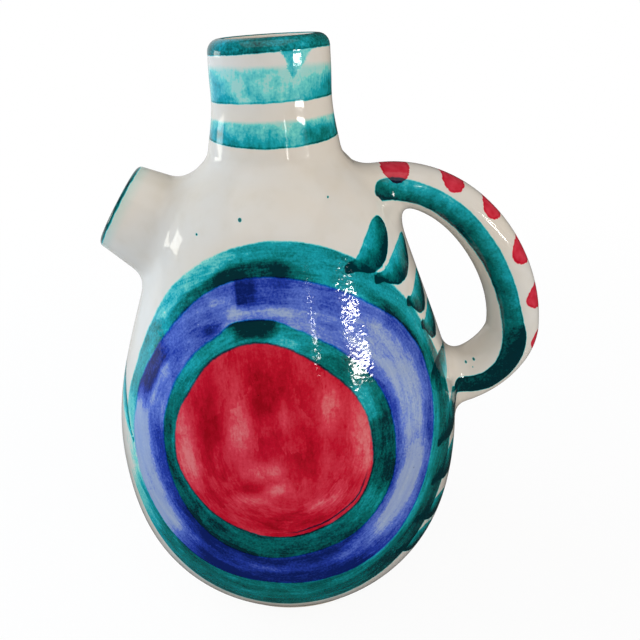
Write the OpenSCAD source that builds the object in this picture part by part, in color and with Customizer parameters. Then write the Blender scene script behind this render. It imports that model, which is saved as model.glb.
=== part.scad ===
// Glazed earthenware wine carafe: a round belly, a narrow neck, a pouring spout on -X and a handle on +X.
// The vessel's axis is Z, and the foot stands on Z = 0.

/* [Foot and belly] */
// Radius of the foot just above the table
foot_r = 48.5; // [44:0.5:52]
// Rounding of the foot's outer edge
foot_edge = 1.5; // [1:0.25:3]
// Radius of the turned recess under the foot
recess_r = 38; // [30:0.5:40]
// Depth of that recess
recess_d = 2.5; // [1.5:0.25:3]
// Height of the base slab, where the wall starts
base_h = 9; // [8:0.5:11]
// Thickness of the thrown wall
wall = 6; // [5:0.25:7]
// Greatest radius of the belly
belly_r = 71.5; // [68:0.5:75]
// Height of the greatest radius
belly_h = 63.5; // [58:0.5:70]
// How far the lower curve leans out from the foot
foot_lean = 16; // [12:0.5:20]
// Height over which it leans out
foot_rise = 16; // [12:0.5:20]
// How long the belly stays upright below its greatest radius
belly_hold_low = 31; // [26:0.5:36]
// How long the belly stays upright above its greatest radius
belly_hold_high = 28; // [22:0.5:34]

/* [Shoulder and neck] */
// Height of the neck's root, where the neck is luted on
neck_root_h = 182; // [179:0.5:185]
// Radius of the neck at its root
neck_root_r = 24; // [23:0.25:26]
// Drop from the neck's root to the shoulder
shoulder_drop = 30; // [27:0.5:34]
// Radius of the shoulder where it turns in
shoulder_r = 47.5; // [45:0.5:50]
// Run of the straight side into the shoulder
side_run = 42; // [36:0.5:48]
// Inward lean of the side at the shoulder, as a fraction of its rise
side_lean = 0.34; // [0.28:0.01:0.4]
// Fullness of the shoulder's turn
shoulder_turn = 20; // [16:0.5:23]
// Sweep of the hollow between shoulder and neck
neck_sweep = 8; // [6:0.5:10]
// Radius of the neck at its waist
neck_r = 21.5; // [20.5:0.25:22.5]
// Height of the waist above the neck's root
waist_rise = 22; // [18:0.5:26]
// Radius of the mouth's bore
mouth_r = 15.5; // [14:0.25:16]
// Outer rounding of the lip
lip_round = 4.25; // [3:0.25:5]
// Inner rounding of the lip
lip_ease = 1.5; // [1:0.25:2]
// Height of the neck from its root to the top of the lip
neck_h = 38; // [34:0.5:44]

/* [Spout] */
// Reach of the spout's mouth beyond the shoulder's radius
spout_reach = 12.3; // [10.5:0.2:14.5]
// Height of the middle of the spout's mouth above the shoulder
spout_lift = 11.3; // [9:0.1:13]
// Rise of the spout's axis above level
spout_tilt = 32; // [30:1:38]
// Outer radius of the spout's mouth
spout_r = 16.4; // [15.5:0.1:17.5]
// Widening of the spout towards the body, per unit of length
spout_taper = 0.2; // [0.1:0.02:0.24]
// Radius of the spout's bore
spout_bore_r = 11; // [9.5:0.25:12]
// Rounding of the spout's rim
spout_round = 2; // [1.5:0.25:2.5]
// Height of the spout's joint coil along the spout
spout_coil_h = 5; // [4:0.5:7]
// Width of the spout's joint coil on the body
spout_coil_w = 7.5; // [6:0.5:10]

/* [Handle] */
// Height of the handle's upper root above the shoulder
handle_lift = 11.5; // [10:0.5:16]
// Height of the handle's lower root
handle_low_h = 81; // [76:0.5:86]
// Reach of the handle's middle line from the vessel's axis
handle_reach = 96.8; // [92:0.2:100]
// Height at which the handle reaches farthest
handle_mid_h = 104; // [100:0.5:110]
// Thickness of the handle at the upper root
handle_top_t = 14.5; // [13:0.5:17]
// Thickness of the handle where it reaches farthest
handle_mid_t = 20.5; // [18:0.5:22]
// Thickness of the handle at the lower root
handle_low_t = 24; // [21:0.5:26]
// Depth of the handle from front to back
handle_depth = 23; // [20:0.5:26]
// Height of the handle's joint coils along the handle
handle_coil_h = 5; // [4:0.5:7]
// Width of the handle's joint coils on the body
handle_coil_w = 6; // [5:0.5:9]

/* [Hidden] */
$fn = 240;

// Steps along each curved span of the outline and round its small edges
span_steps = 14;
edge_steps = 5;
// Rings along each half of the handle and points around it
handle_steps = 18;
handle_sides = 24;
// Points around a joint coil and along its hollow face
coil_sides = 36;
coil_steps = 4;
// Blunt edge of a joint coil, and its depth under the clay that it is pressed on
coil_edge = 0.6;
coil_bite = 1.6;
// Halvings when a limb's side is followed down to the body, and the step that measures its pace
search_steps = 20;
pace_step = 0.05;
// How far the spout and the handle's lower end run on inside the body before they are trimmed to it
spout_root = 30;
handle_bury = 14;
// Places on the handle, as a share of each half, that lie clear of the body
handle_clear_top = 0.6;
handle_clear_low = 1.5;
// Pulls on the handle's middle line
handle_top_rise = 15;
handle_top_pull = 43;
handle_high_pull = 33;
handle_low_pull = 15;
handle_tuck = 19;
handle_tuck_drop = 8;
// Length over which the mouth's bore opens into the body
bore_flare_h = 6;
// Overrun of a cutting tool
over = 1;

// Heights and reaches that follow from the neck's root and the shoulder
shoulder_h = neck_root_h - shoulder_drop;
waist_h = neck_root_h + waist_rise;
total_h = neck_root_h + neck_h;
spout_x = shoulder_r + spout_reach;
spout_z = shoulder_h + spout_lift;
handle_top_h = shoulder_h + handle_lift;

white_glaze = "#e9e3d6";
foot_clay = "#d8c9ae";
green_glaze = "#3f8f86";

// Point on a cubic curve through a list of four points
function bezier(p, t) =
    pow(1 - t, 3) * p[0] + 3 * t * pow(1 - t, 2) * p[1] + 3 * t * t * (1 - t) * p[2] + pow(t, 3) * p[3];

// Direction of the same curve, as a unit vector
function bezier_dir(p, t) =
    unit(pow(1 - t, 2) * (p[1] - p[0]) + 2 * t * (1 - t) * (p[2] - p[1]) + t * t * (p[3] - p[2]));

function unit(v) = v / norm(v);

function mix(a, b, t) = a + (b - a) * t;

// Part of a circle about a centre, from one angle to another
function arc(centre, r, from, to) =
    [for (i = [0:edge_steps]) let (a = mix(from, to, i / edge_steps)) centre + r * [cos(a), sin(a)]];

// The four spans of the outline, each as [radius, height] control points
lower_span = [
    [foot_r, foot_edge],
    [foot_r + foot_lean, foot_edge + foot_rise],
    [belly_r, belly_h - belly_hold_low],
    [belly_r, belly_h]
];
side_span = [
    [belly_r, belly_h],
    [belly_r, belly_h + belly_hold_high],
    [shoulder_r + side_run * side_lean, shoulder_h - side_run],
    [shoulder_r, shoulder_h]
];
shoulder_span = [
    [shoulder_r, shoulder_h],
    [shoulder_r - shoulder_turn * side_lean, shoulder_h + shoulder_turn],
    [neck_root_r, neck_root_h - neck_sweep],
    [neck_root_r, neck_root_h]
];
neck_span = [
    [neck_root_r, neck_root_h],
    [neck_root_r, neck_root_h + neck_sweep],
    [neck_r, waist_h - neck_sweep],
    [neck_r, waist_h]
];
body_spans = [lower_span, side_span, shoulder_span];

// Points of the body's outline from the foot to the neck's root
body_line = [
    for (s = [0:len(body_spans) - 1], i = [(s == 0 ? 0 : 1):span_steps]) bezier(body_spans[s], i / span_steps)
];

// The same outline moved inwards by the wall's thickness
body_inner = [
    for (s = [0:len(body_spans) - 1], i = [(s == 0 ? 0 : 1):span_steps])
        let (d = bezier_dir(body_spans[s], i / span_steps))
            bezier(body_spans[s], i / span_steps) + wall * [-d[1], d[0]]
];
neck_line = [for (i = [0:span_steps]) bezier(neck_span, i / span_steps)];

// Lip over the neck's wall, its outer rounding limited by what the inner one leaves
lip_out = min(lip_round, neck_r - mouth_r - lip_ease);
lip_line = concat(
    arc([neck_r - lip_out, total_h - lip_out], lip_out, 0, 90),
    arc([mouth_r + lip_ease, total_h - lip_ease], lip_ease, 90, 180)
);

// Outline of the closed vessel up to the neck's waist, and its outer radius at a height
vessel_line = concat(body_line, [for (i = [1:span_steps]) neck_line[i]]);
outline_table = [for (p = vessel_line) [p[1], p[0]]];
function outer_r(z) = lookup(z, outline_table);

// Distance of a point outside the body, and the point moved to a set distance from it
function outside(p) = norm([p[0], p[1]]) - outer_r(p[2]);
function onto_body(p, gap) =
    let (k = (outer_r(p[2]) + gap) / norm([p[0], p[1]])) [p[0] * k, p[1] * k, p[2]];

// Middle line of the handle, as two spans of [x, z] points
handle_root_x = neck_root_r;
handle_low_x = outer_r(handle_low_h) - handle_bury;
handle_spans = [
    [
        [handle_root_x, handle_top_h],
        [handle_root_x + handle_top_pull, handle_top_h + handle_top_rise],
        [handle_reach, handle_mid_h + handle_high_pull],
        [handle_reach, handle_mid_h]
    ],
    [
        [handle_reach, handle_mid_h],
        [handle_reach, handle_mid_h - handle_low_pull],
        [handle_low_x + handle_tuck, handle_low_h - handle_tuck_drop],
        [handle_low_x, handle_low_h]
    ]
];

// Place along the handle runs from 0 at the upper root to 2 at the lower root
function handle_span(s) = handle_spans[s < 1 ? 0 : 1];
function handle_local(s) = s < 1 ? s : s - 1;
function handle_mid(s) = bezier(handle_span(s), handle_local(s));
function handle_half(s) =
    (s < 1 ? mix(handle_top_t, handle_mid_t, s) : mix(handle_mid_t, handle_low_t, s - 1)) / 2;

// Point on the handle's oval skin at a place and an angle, and the way that skin faces
function handle_point(s, a) =
    let (c = handle_mid(s), d = bezier_dir(handle_span(s), handle_local(s)), h = handle_half(s) * cos(a))
        [c[0] - d[1] * h, handle_depth / 2 * sin(a), c[1] + d[0] * h];
function handle_face(s, a) =
    let (c = handle_mid(s)) unit(handle_point(s, a) - [c[0], 0, c[1]]);

// Point on the spout's skin at a distance back from its mouth, and the way that skin faces
spout_axis = [-cos(spout_tilt), 0, sin(spout_tilt)];
spout_up = [sin(spout_tilt), 0, cos(spout_tilt)];
spout_mouth = [-spout_x, 0, spout_z];
function spout_face(s, a) = spout_up * cos(a) + [0, sin(a), 0];
function spout_point(s, a) =
    spout_mouth - s * spout_axis + (spout_r + s * spout_taper) * spout_face(s, a);

// Place along a limb at which its side meets the body, between an inner and an outer place
function meeting(limb, a, inner, outer, n = search_steps) =
    let (m = (inner + outer) / 2)
        n == 0 ? m :
        outside(limb(m, a)) > 0 ? meeting(limb, a, inner, m, n - 1) : meeting(limb, a, m, outer, n - 1);

// Place on the limb that lies a set distance up from a meeting place
function up_limb(limb, a, from, outer, rise) =
    let (way = sign(outer - from), pace = norm(limb(from + way * pace_step, a) - limb(from, a)) / pace_step)
        from + way * rise / pace;

// Section of a joint coil at one angle: a hollow face from limb to body, closed under the clay
function coil_section(limb, face, a, inner, outer, rise, width) =
    let (
        s = meeting(limb, a, inner, outer),
        top = up_limb(limb, a, s, outer, rise),
        q = limb(s, a),
        e = face(s, a),
        p0 = limb(top, a) + coil_edge * face(top, a),
        p1 = onto_body(q + coil_edge * e, coil_edge),
        p2 = onto_body(q + width * e, coil_edge)
    )
        concat(
            [for (i = [0:coil_steps]) let (t = i / coil_steps) mix(mix(p0, p1, t), mix(p1, p2, t), t)],
            [
                onto_body(q + width * e, -coil_bite),
                onto_body(q - coil_bite * e, -coil_bite),
                limb(top, a) - coil_bite * face(top, a)
            ]
        );

// Triangles between one section of m points and another, by their numbers in a row of sections
function strip(m, one, other) = [
    for (j = [0:m - 1])
        let (k = (j + 1) % m)
            each [[one * m + j, one * m + k, other * m + k], [one * m + j, other * m + k, other * m + j]]
];

// Closed skin over a loop of equal sections
module ring_skin(sections) {
    n = len(sections);
    m = len(sections[0]);
    polyhedron(
        points = [for (s = sections, p = s) p],
        faces = [for (i = [0:n - 1]) each strip(m, i, (i + 1) % n)]
    );
}

// Closed skin over a row of equal sections, with flat ends
module limb_skin(sections) {
    n = len(sections);
    m = len(sections[0]);
    polyhedron(
        points = [for (s = sections, p = s) p],
        faces = concat(
            [for (i = [0:n - 2]) each strip(m, i, i + 1)],
            [[for (j = [m - 1:-1:0]) j], [for (j = [0:m - 1]) (n - 1) * m + j]]
        )
    );
}

// Everything inside the vessel's outer surface, up to the neck's waist
module vessel_solid() {
    rotate_extrude()
        polygon(concat([[0, 0], [foot_r - foot_edge, 0]], vessel_line, [[0, waist_h]]));
}

// Places its children with Z along the spout's axis and the origin at the spout's mouth
module at_spout() {
    translate(spout_mouth)
        rotate([0, spout_tilt - 90, 0])
            children();
}

module spout_bore() {
    at_spout()
        translate([0, 0, -spout_root - wall])
            cylinder(r = spout_bore_r, h = spout_root + wall + over);
}

module spout_limb() {
    back_r = spout_r + spout_root * spout_taper;
    at_spout()
        rotate_extrude()
            polygon(concat(
                [[0, -spout_root], [back_r, -spout_root]],
                arc([spout_r - spout_round, -spout_round], spout_round, 0, 90),
                [[0, 0]]
            ));
}

module handle_limb() {
    limb_skin([
        for (i = [0:2 * handle_steps])
            [for (j = [0:handle_sides - 1]) handle_point(i / handle_steps, j * 360 / handle_sides)]
    ]);
}

module handle_coil(inner, outer) {
    ring_skin([
        for (i = [0:coil_sides - 1])
            coil_section(
                function(s, a) handle_point(s, a),
                function(s, a) handle_face(s, a),
                i * 360 / coil_sides * sign(outer - inner), inner, outer, handle_coil_h, handle_coil_w
            )
    ]);
}

// Base slab with the turned foot that the carafe stands on
module base() {
    side = [for (p = body_line) if (p[1] > foot_edge && p[1] < base_h) p];
    color(foot_clay)
        rotate_extrude()
            polygon(concat(
                [[0, recess_d], [recess_r - recess_d, recess_d], [recess_r, 0]],
                arc([foot_r - foot_edge, foot_edge], foot_edge, -90, 0),
                side,
                [[outer_r(base_h), base_h], [0, base_h]]
            ));
}

// Thrown wall of the belly and shoulder, with the hole that leads to the spout
module body_wall() {
    outside_line = [for (p = body_line) if (p[1] > base_h) p];
    inside_line = [for (i = [len(body_inner) - 1:-1:0]) if (body_inner[i][1] > base_h + over) body_inner[i]];
    color(white_glaze)
        difference() {
            rotate_extrude()
                polygon(concat(
                    [[outer_r(base_h), base_h]],
                    outside_line,
                    inside_line,
                    [[inside_line[len(inside_line) - 1][0] - over, base_h]]
                ));
            spout_bore();
        }
}

// Collar of the neck with its rounded lip
module neck() {
    color(green_glaze)
        rotate_extrude()
            polygon(concat(
                neck_line,
                lip_line,
                [[mouth_r, neck_root_h + bore_flare_h], [neck_root_r - wall, neck_root_h]]
            ));
}

// Short round spout, trimmed to the body
module spout() {
    color(white_glaze)
        difference() {
            spout_limb();
            spout_bore();
            vessel_solid();
        }
}

// Clay coil that fills the corner between spout and body
module spout_joint_coil() {
    color(white_glaze)
        difference() {
            ring_skin([
                for (i = [0:coil_sides - 1])
                    coil_section(
                        function(s, a) spout_point(s, a),
                        function(s, a) spout_face(s, a),
                        i * 360 / coil_sides, spout_root, 0, spout_coil_h, spout_coil_w
                    )
            ]);
            spout_limb();
            vessel_solid();
        }
}

// Pulled handle of oval section, trimmed to the body at both roots
module handle() {
    color(green_glaze)
        difference() {
            handle_limb();
            vessel_solid();
        }
}

// Clay coil round the handle's upper root
module handle_top_coil() {
    color(white_glaze)
        difference() {
            handle_coil(0, handle_clear_top);
            handle_limb();
            vessel_solid();
        }
}

// Clay coil round the handle's lower root
module handle_low_coil() {
    color(white_glaze)
        difference() {
            handle_coil(2, handle_clear_low);
            handle_limb();
            vessel_solid();
        }
}

base();
body_wall();
neck();
spout();
spout_joint_coil();
handle();
handle_top_coil();
handle_low_coil();
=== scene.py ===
"""Looks of a glazed earthenware wine carafe with brushed rings, bands, leaves and dabs."""
import math

import bpy
import numpy as np
from mathutils import Color, Matrix, Vector


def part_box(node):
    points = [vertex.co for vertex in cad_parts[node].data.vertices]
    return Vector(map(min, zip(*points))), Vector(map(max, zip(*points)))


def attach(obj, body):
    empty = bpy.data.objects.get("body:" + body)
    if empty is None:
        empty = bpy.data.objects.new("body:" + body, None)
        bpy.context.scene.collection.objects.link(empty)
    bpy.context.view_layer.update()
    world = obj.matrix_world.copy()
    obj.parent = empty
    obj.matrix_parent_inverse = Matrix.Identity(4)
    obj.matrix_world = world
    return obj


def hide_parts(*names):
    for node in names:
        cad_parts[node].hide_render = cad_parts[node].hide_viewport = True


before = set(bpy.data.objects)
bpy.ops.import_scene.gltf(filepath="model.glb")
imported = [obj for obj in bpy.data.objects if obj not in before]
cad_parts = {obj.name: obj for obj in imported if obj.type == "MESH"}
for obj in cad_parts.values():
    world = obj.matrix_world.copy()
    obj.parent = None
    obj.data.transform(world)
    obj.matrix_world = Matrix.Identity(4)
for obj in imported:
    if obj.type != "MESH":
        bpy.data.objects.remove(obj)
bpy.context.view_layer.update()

bl_info = {
    "name": "Painted wine carafe",
    "version": (1, 0, 0),
    "blender": (4, 5, 0),
    "location": "View3D > Sidebar > Carafe",
    "description": "Throws, joins, glazes and paints an earthenware carafe around its packed solids",
    "category": "Object",
}

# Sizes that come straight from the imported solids, in metres
SLAB_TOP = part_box("base")[1].z
BELLY_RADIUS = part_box("body_wall")[1].y
NECK_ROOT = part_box("neck")[0].z
LIP_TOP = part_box("neck")[1].z
HANDLE_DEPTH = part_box("handle")[1].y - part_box("handle")[0].y

# Fineness of the meshes
TURN_SIDES = 192
OUTLINE_STEPS = 400
OUTER_STEP = 0.0016
INNER_STEP = 0.005
LIMB_SIDES = 64
HANDLE_ROWS = 110
COIL_SIDES = 96
COIL_STEPS = 12
SPOUT_BORE_ROWS = 10
SPOUT_SKIN_ROWS = 16
EDGE_STEPS = 7
SEARCH_STEPS = 30
SMOOTH_ANGLE = math.radians(38)

# Small clearances of hidden faces, in metres
BURY = 0.0012
COIL_BITE = 0.0005
TINY = 1e-5

# Places along the handle, from 0 at its upper root to 2 at its lower one, that are clear of the body
HANDLE_CLEAR_TOP = 0.6
HANDLE_CLEAR_LOW = 1.5

# How far the curve of a joint coil is pulled into its corner, as a share of each side
COIL_PULL = 0.72

# Unevenness of the thrown wall: where its oval turns, the share of its three swells and how much
# they twist upwards
STRAY_TURN = 0.9
STRAY_SHARE = 0.6
STRAY_TWIST = 28

# The paint's fields are in millimetres
MM = 1000.0


def length(name, description, default):
    """A size in metres for a property group."""
    return bpy.props.FloatProperty(
        name=name, description=description, default=default, unit="LENGTH", precision=4
    )


def ratio(name, description, default):
    """A plain number for a property group."""
    return bpy.props.FloatProperty(name=name, description=description, default=default, precision=3)


def turn(name, description, degrees):
    """An angle for a property group."""
    return bpy.props.FloatProperty(
        name=name, description=description, default=math.radians(degrees), subtype="ANGLE"
    )


def tint(name, description, red, green, blue):
    """A colour for a property group, from its values on screen."""
    return bpy.props.FloatVectorProperty(
        name=name,
        description=description,
        default=(red / 255, green / 255, blue / 255),
        subtype="COLOR_GAMMA",
        size=3,
        min=0,
        max=1,
    )


class VesselShape(bpy.types.PropertyGroup):
    """Sizes of the thrown foot, belly, shoulder and neck"""

    foot_r: length("Foot radius", "Radius of the foot just above the table", 0.0485)
    foot_edge: length("Foot edge", "Rounding of the foot's outer edge", 0.0015)
    recess_r: length("Recess radius", "Radius of the turned recess under the foot", 0.038)
    recess_d: length("Recess depth", "Depth of that recess", 0.0025)
    wall: length("Wall", "Thickness of the thrown wall", 0.006)
    belly_r: length("Belly radius", "Greatest radius of the belly", BELLY_RADIUS)
    belly_h: length("Belly height", "Height of the greatest radius", 0.0635)
    foot_lean: length("Foot lean", "How far the lower curve leans out from the foot", 0.016)
    foot_rise: length("Foot rise", "Height over which it leans out", 0.016)
    hold_low: length("Hold below", "How long the belly stays upright below its middle", 0.031)
    hold_high: length("Hold above", "How long the belly stays upright above its middle", 0.028)
    shoulder_drop: length("Shoulder drop", "Drop from the neck's root to the shoulder", 0.03)
    shoulder_r: length("Shoulder radius", "Radius of the shoulder where it turns in", 0.0475)
    side_run: length("Side run", "Run of the straight side into the shoulder", 0.042)
    side_lean: ratio("Side lean", "Inward lean of the side at the shoulder", 0.34)
    shoulder_turn: length("Shoulder turn", "Fullness of the shoulder's turn", 0.02)
    neck_root_r: length("Neck root radius", "Radius of the neck at its root", 0.024)
    root_full: length("Root fullness", "How far the neck's root is smoothed out beyond that radius", 0.0006)
    root_lean: ratio("Root lean", "Inward lean of the smoothed outline at the neck's root", 0.2)
    neck_sweep: length("Neck sweep", "Sweep of the hollow between shoulder and neck", 0.008)
    neck_r: length("Neck radius", "Radius of the neck at its waist", 0.0215)
    waist_rise: length("Waist rise", "Height of the waist above the neck's root", 0.022)
    mouth_r: length("Mouth radius", "Radius of the mouth's bore", 0.0155)
    lip_round: length("Lip rounding", "Outer rounding of the lip", 0.00425)
    lip_ease: length("Lip ease", "Inner rounding of the lip", 0.0015)
    flare_h: length("Bore flare", "Length over which the mouth's bore opens into the body", 0.006)
    rim_lift: length("Rim lift", "Height that the hand-pressed rim stands above its drawn line", 0.0004)
    rim_tilt_side: length("Rim tilt to the handle", "Rise of the rim at the handle's side", 0.0006)
    rim_tilt_back: length("Rim tilt to the back", "Rise of the rim at the back", 0.0003)
    neck_full: length("Neck fullness", "How far the neck swells under its rim", 0.0003)
    neck_full_h: length("Neck fullness height", "Height of that swell above the neck's root", 0.0245)
    neck_full_run: length("Neck fullness run", "How far the swell runs up and down", 0.008)
    unevenness: length("Unevenness", "How far the thrown wall strays from a true round", 0.0004)


class SpoutShape(bpy.types.PropertyGroup):
    """Sizes of the pouring spout and its joint coil"""

    reach: length("Reach", "Reach of the spout's mouth beyond the shoulder's radius", 0.0123)
    lift: length("Lift", "Height of the middle of the mouth above the shoulder", 0.0113)
    tilt: turn("Tilt", "Rise of the spout's axis above level", 32)
    mouth_r: length("Mouth radius", "Outer radius of the spout's mouth", 0.0164)
    taper: ratio("Taper", "Widening towards the body per unit of length", 0.2)
    bore_r: length("Bore radius", "Radius of the spout's bore", 0.011)
    rounding: length("Rim rounding", "Rounding of the spout's rim", 0.002)
    root: length("Root", "Length of the spout's line inside the body", 0.03)
    coil_h: length("Coil height", "Height of the joint coil along the spout", 0.006)
    coil_w: length("Coil width", "Width of the joint coil on the body", 0.0085)


class HandleShape(bpy.types.PropertyGroup):
    """Sizes of the pulled handle and its joint coils"""

    lift: length("Lift", "Height of the upper root above the shoulder", 0.0115)
    low_h: length("Lower root", "Height of the lower root", 0.081)
    reach: length("Reach", "Reach of the middle line from the vessel's axis", 0.0968)
    mid_h: length("Middle height", "Height at which the handle reaches farthest", 0.104)
    top_t: length("Upper thickness", "Thickness at the upper root", 0.0145)
    mid_t: length("Middle thickness", "Thickness where the handle reaches farthest", 0.0205)
    low_t: length("Lower thickness", "Thickness at the lower root", 0.024)
    depth: length("Depth", "Depth from front to back", HANDLE_DEPTH)
    swell: ratio("Inner swell", "Extra thickness on the arch's inner side, as a share of half of it", 0.2)
    swell_at: ratio("Swell place", "Place of that swell along the handle, from 0 to 2", 0.56)
    swell_run: ratio("Swell run", "How far the swell runs along the handle", 0.32)
    squareness: ratio("Squareness", "Fullness of the oval section, 2 for a true oval", 2.25)
    bury: length("Bury", "How far the lower end runs on inside the body", 0.014)
    top_rise: length("Upper rise", "Pull upwards at the upper root", 0.015)
    top_pull: length("Upper pull", "Pull outwards at the upper root", 0.043)
    high_pull: length("Pull above", "Pull of the line above its farthest reach", 0.033)
    low_pull: length("Pull below", "Pull of the line below its farthest reach", 0.015)
    tuck: length("Tuck", "Pull outwards at the lower root", 0.019)
    tuck_drop: length("Tuck drop", "Pull downwards at the lower root", 0.008)
    coil_h: length("Coil height", "Height of the joint coils along the handle", 0.006)
    coil_w: length("Coil width", "Width of the joint coils on the body", 0.0075)
    coil_full: ratio("Coil fullness", "How much larger the coils are on the side of the opening", 0.7)


class Brushwork(bpy.types.PropertyGroup):
    """Places of the painted ornament on the front"""

    centre_x: length("Centre across", "Place of the rings' centre across the front", -0.003)
    centre_z: length("Centre height", "Height of the rings' centre", 0.092)
    disc_r: length("Disc radius", "Mean radius of the red disc", 0.034)
    inner_r: length("Inner ring", "Mean outer radius of the inner green ring", 0.0416)
    blue_r: length("Blue ring", "Mean outer radius of the blue ring", 0.0567)
    outer_r: length("Outer ring", "Mean outer radius of the outer green ring", 0.0666)
    rim_low: length("Rim paint", "Height of the lower edge of the rim's paint", 0.2157)
    band_high_top: length("High band, top", "Top edge of the upper neck band", 0.2121)
    band_high_low: length("High band, bottom", "Bottom edge of the upper neck band", 0.2)
    band_low_top: length("Low band, top", "Top edge of the lower neck band", 0.1942)
    band_low_low: length("Low band, bottom", "Bottom edge of the lower neck band", 0.1859)
    spout_line: length("Spout line", "Width of the dark line round the spout's rim", 0.0013)
    spout_halo: length("Spout halo", "Width of the pale wash beside that line", 0.006)


class GlazeColours(bpy.types.PropertyGroup):
    """Colours of clay, glaze and pigments, from thin to thick"""

    glaze: tint("Glaze", "White glaze over the clay", 218, 206, 190)
    glaze_cool: tint("Cool glaze", "Thicker and bluer runs of the glaze", 216, 213, 208)
    clay: tint("Clay", "Bare fired clay", 205, 182, 150)
    speck: tint("Speck", "Pinholes and specks of iron", 96, 84, 66)
    green_wash: tint("Green wash", "Thinnest green", 116, 204, 212)
    green_light: tint("Light green", "Thin green", 28, 162, 168)
    green_full: tint("Full green", "Usual green", 6, 108, 102)
    green_deep: tint("Deep green", "Thickest green", 1, 42, 46)
    blue_wash: tint("Blue wash", "Thinnest blue", 150, 163, 196)
    blue_light: tint("Light blue", "Thin blue", 90, 112, 205)
    blue_full: tint("Full blue", "Usual blue", 34, 57, 151)
    blue_deep: tint("Deep blue", "Thickest blue", 8, 28, 90)
    red_wash: tint("Red wash", "Thinnest red", 224, 112, 112)
    red_light: tint("Light red", "Thin red", 210, 58, 72)
    red_full: tint("Full red", "Usual red", 188, 14, 38)
    red_deep: tint("Deep red", "Thickest red", 150, 4, 20)


class StudioSetup(bpy.types.PropertyGroup):
    """Camera, floor and light"""

    camera_back: length("Camera distance", "Distance of the camera in front of the axis", 0.253)
    camera_h: length("Camera height", "Height of the camera above the floor", 0.2253)
    pitch: turn("Pitch", "How far the camera looks down", 24.42)
    yaw: turn("Yaw", "How far the camera looks to the handle's side", 3.33)
    roll: turn("Roll", "How far the camera leans", -1.98)
    lens: ratio("Lens", "Focal length as a share of the sensor's width", 665 / 640)
    ambient: ratio("Ambient", "Level of the even light from all sides", 0.58)
    room: ratio("Room", "Level of the room in front of the carafe, as the glaze mirrors it", 0.04)
    floor: tint("Floor", "Colour of the pale floor", 236, 236, 235)
    floor_white: ratio("Floor white", "Share of plain white in the floor beside the carafe", 0.93)
    sheen: ratio("Sheen", "Share of the white background that the spout's side mirrors", 0.6)
    floor_size: length("Floor size", "Half width of the floor", 3.0)


# Curves and the vessel's outline


def bezier(points, t):
    """Points of a cubic curve at places t from 0 to 1."""
    p = np.asarray(points, float)
    t = np.asarray(t, float)[..., None]
    return (1 - t) ** 3 * p[0] + 3 * t * (1 - t) ** 2 * p[1] + 3 * t * t * (1 - t) * p[2] + t**3 * p[3]


def bezier_pull(points, t):
    """Directions of the same curve, a third of its slope."""
    p = np.asarray(points, float)
    t = np.asarray(t, float)[..., None]
    return (1 - t) ** 2 * (p[1] - p[0]) + 2 * t * (1 - t) * (p[2] - p[1]) + t * t * (p[3] - p[2])


def unit(vectors):
    """Vectors scaled to a length of one."""
    return vectors / np.linalg.norm(vectors, axis=-1, keepdims=True)


def arc(centre, radius, start, end):
    """Points of a circle's arc in [radius, height], with angles in degrees."""
    angles = np.radians(np.linspace(start, end, EDGE_STEPS))
    return np.asarray(centre) + radius * np.column_stack([np.cos(angles), np.sin(angles)])


def evenly(line, step):
    """The same line with points about one step apart."""
    runs = np.linalg.norm(np.diff(line, axis=0), axis=1)
    places = np.concatenate([[0], np.cumsum(runs)])
    count = max(2, int(round(places[-1] / step)) + 1)
    wanted = np.linspace(0, places[-1], count)
    return np.column_stack([np.interp(wanted, places, line[:, k]) for k in range(line.shape[1])])


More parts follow.
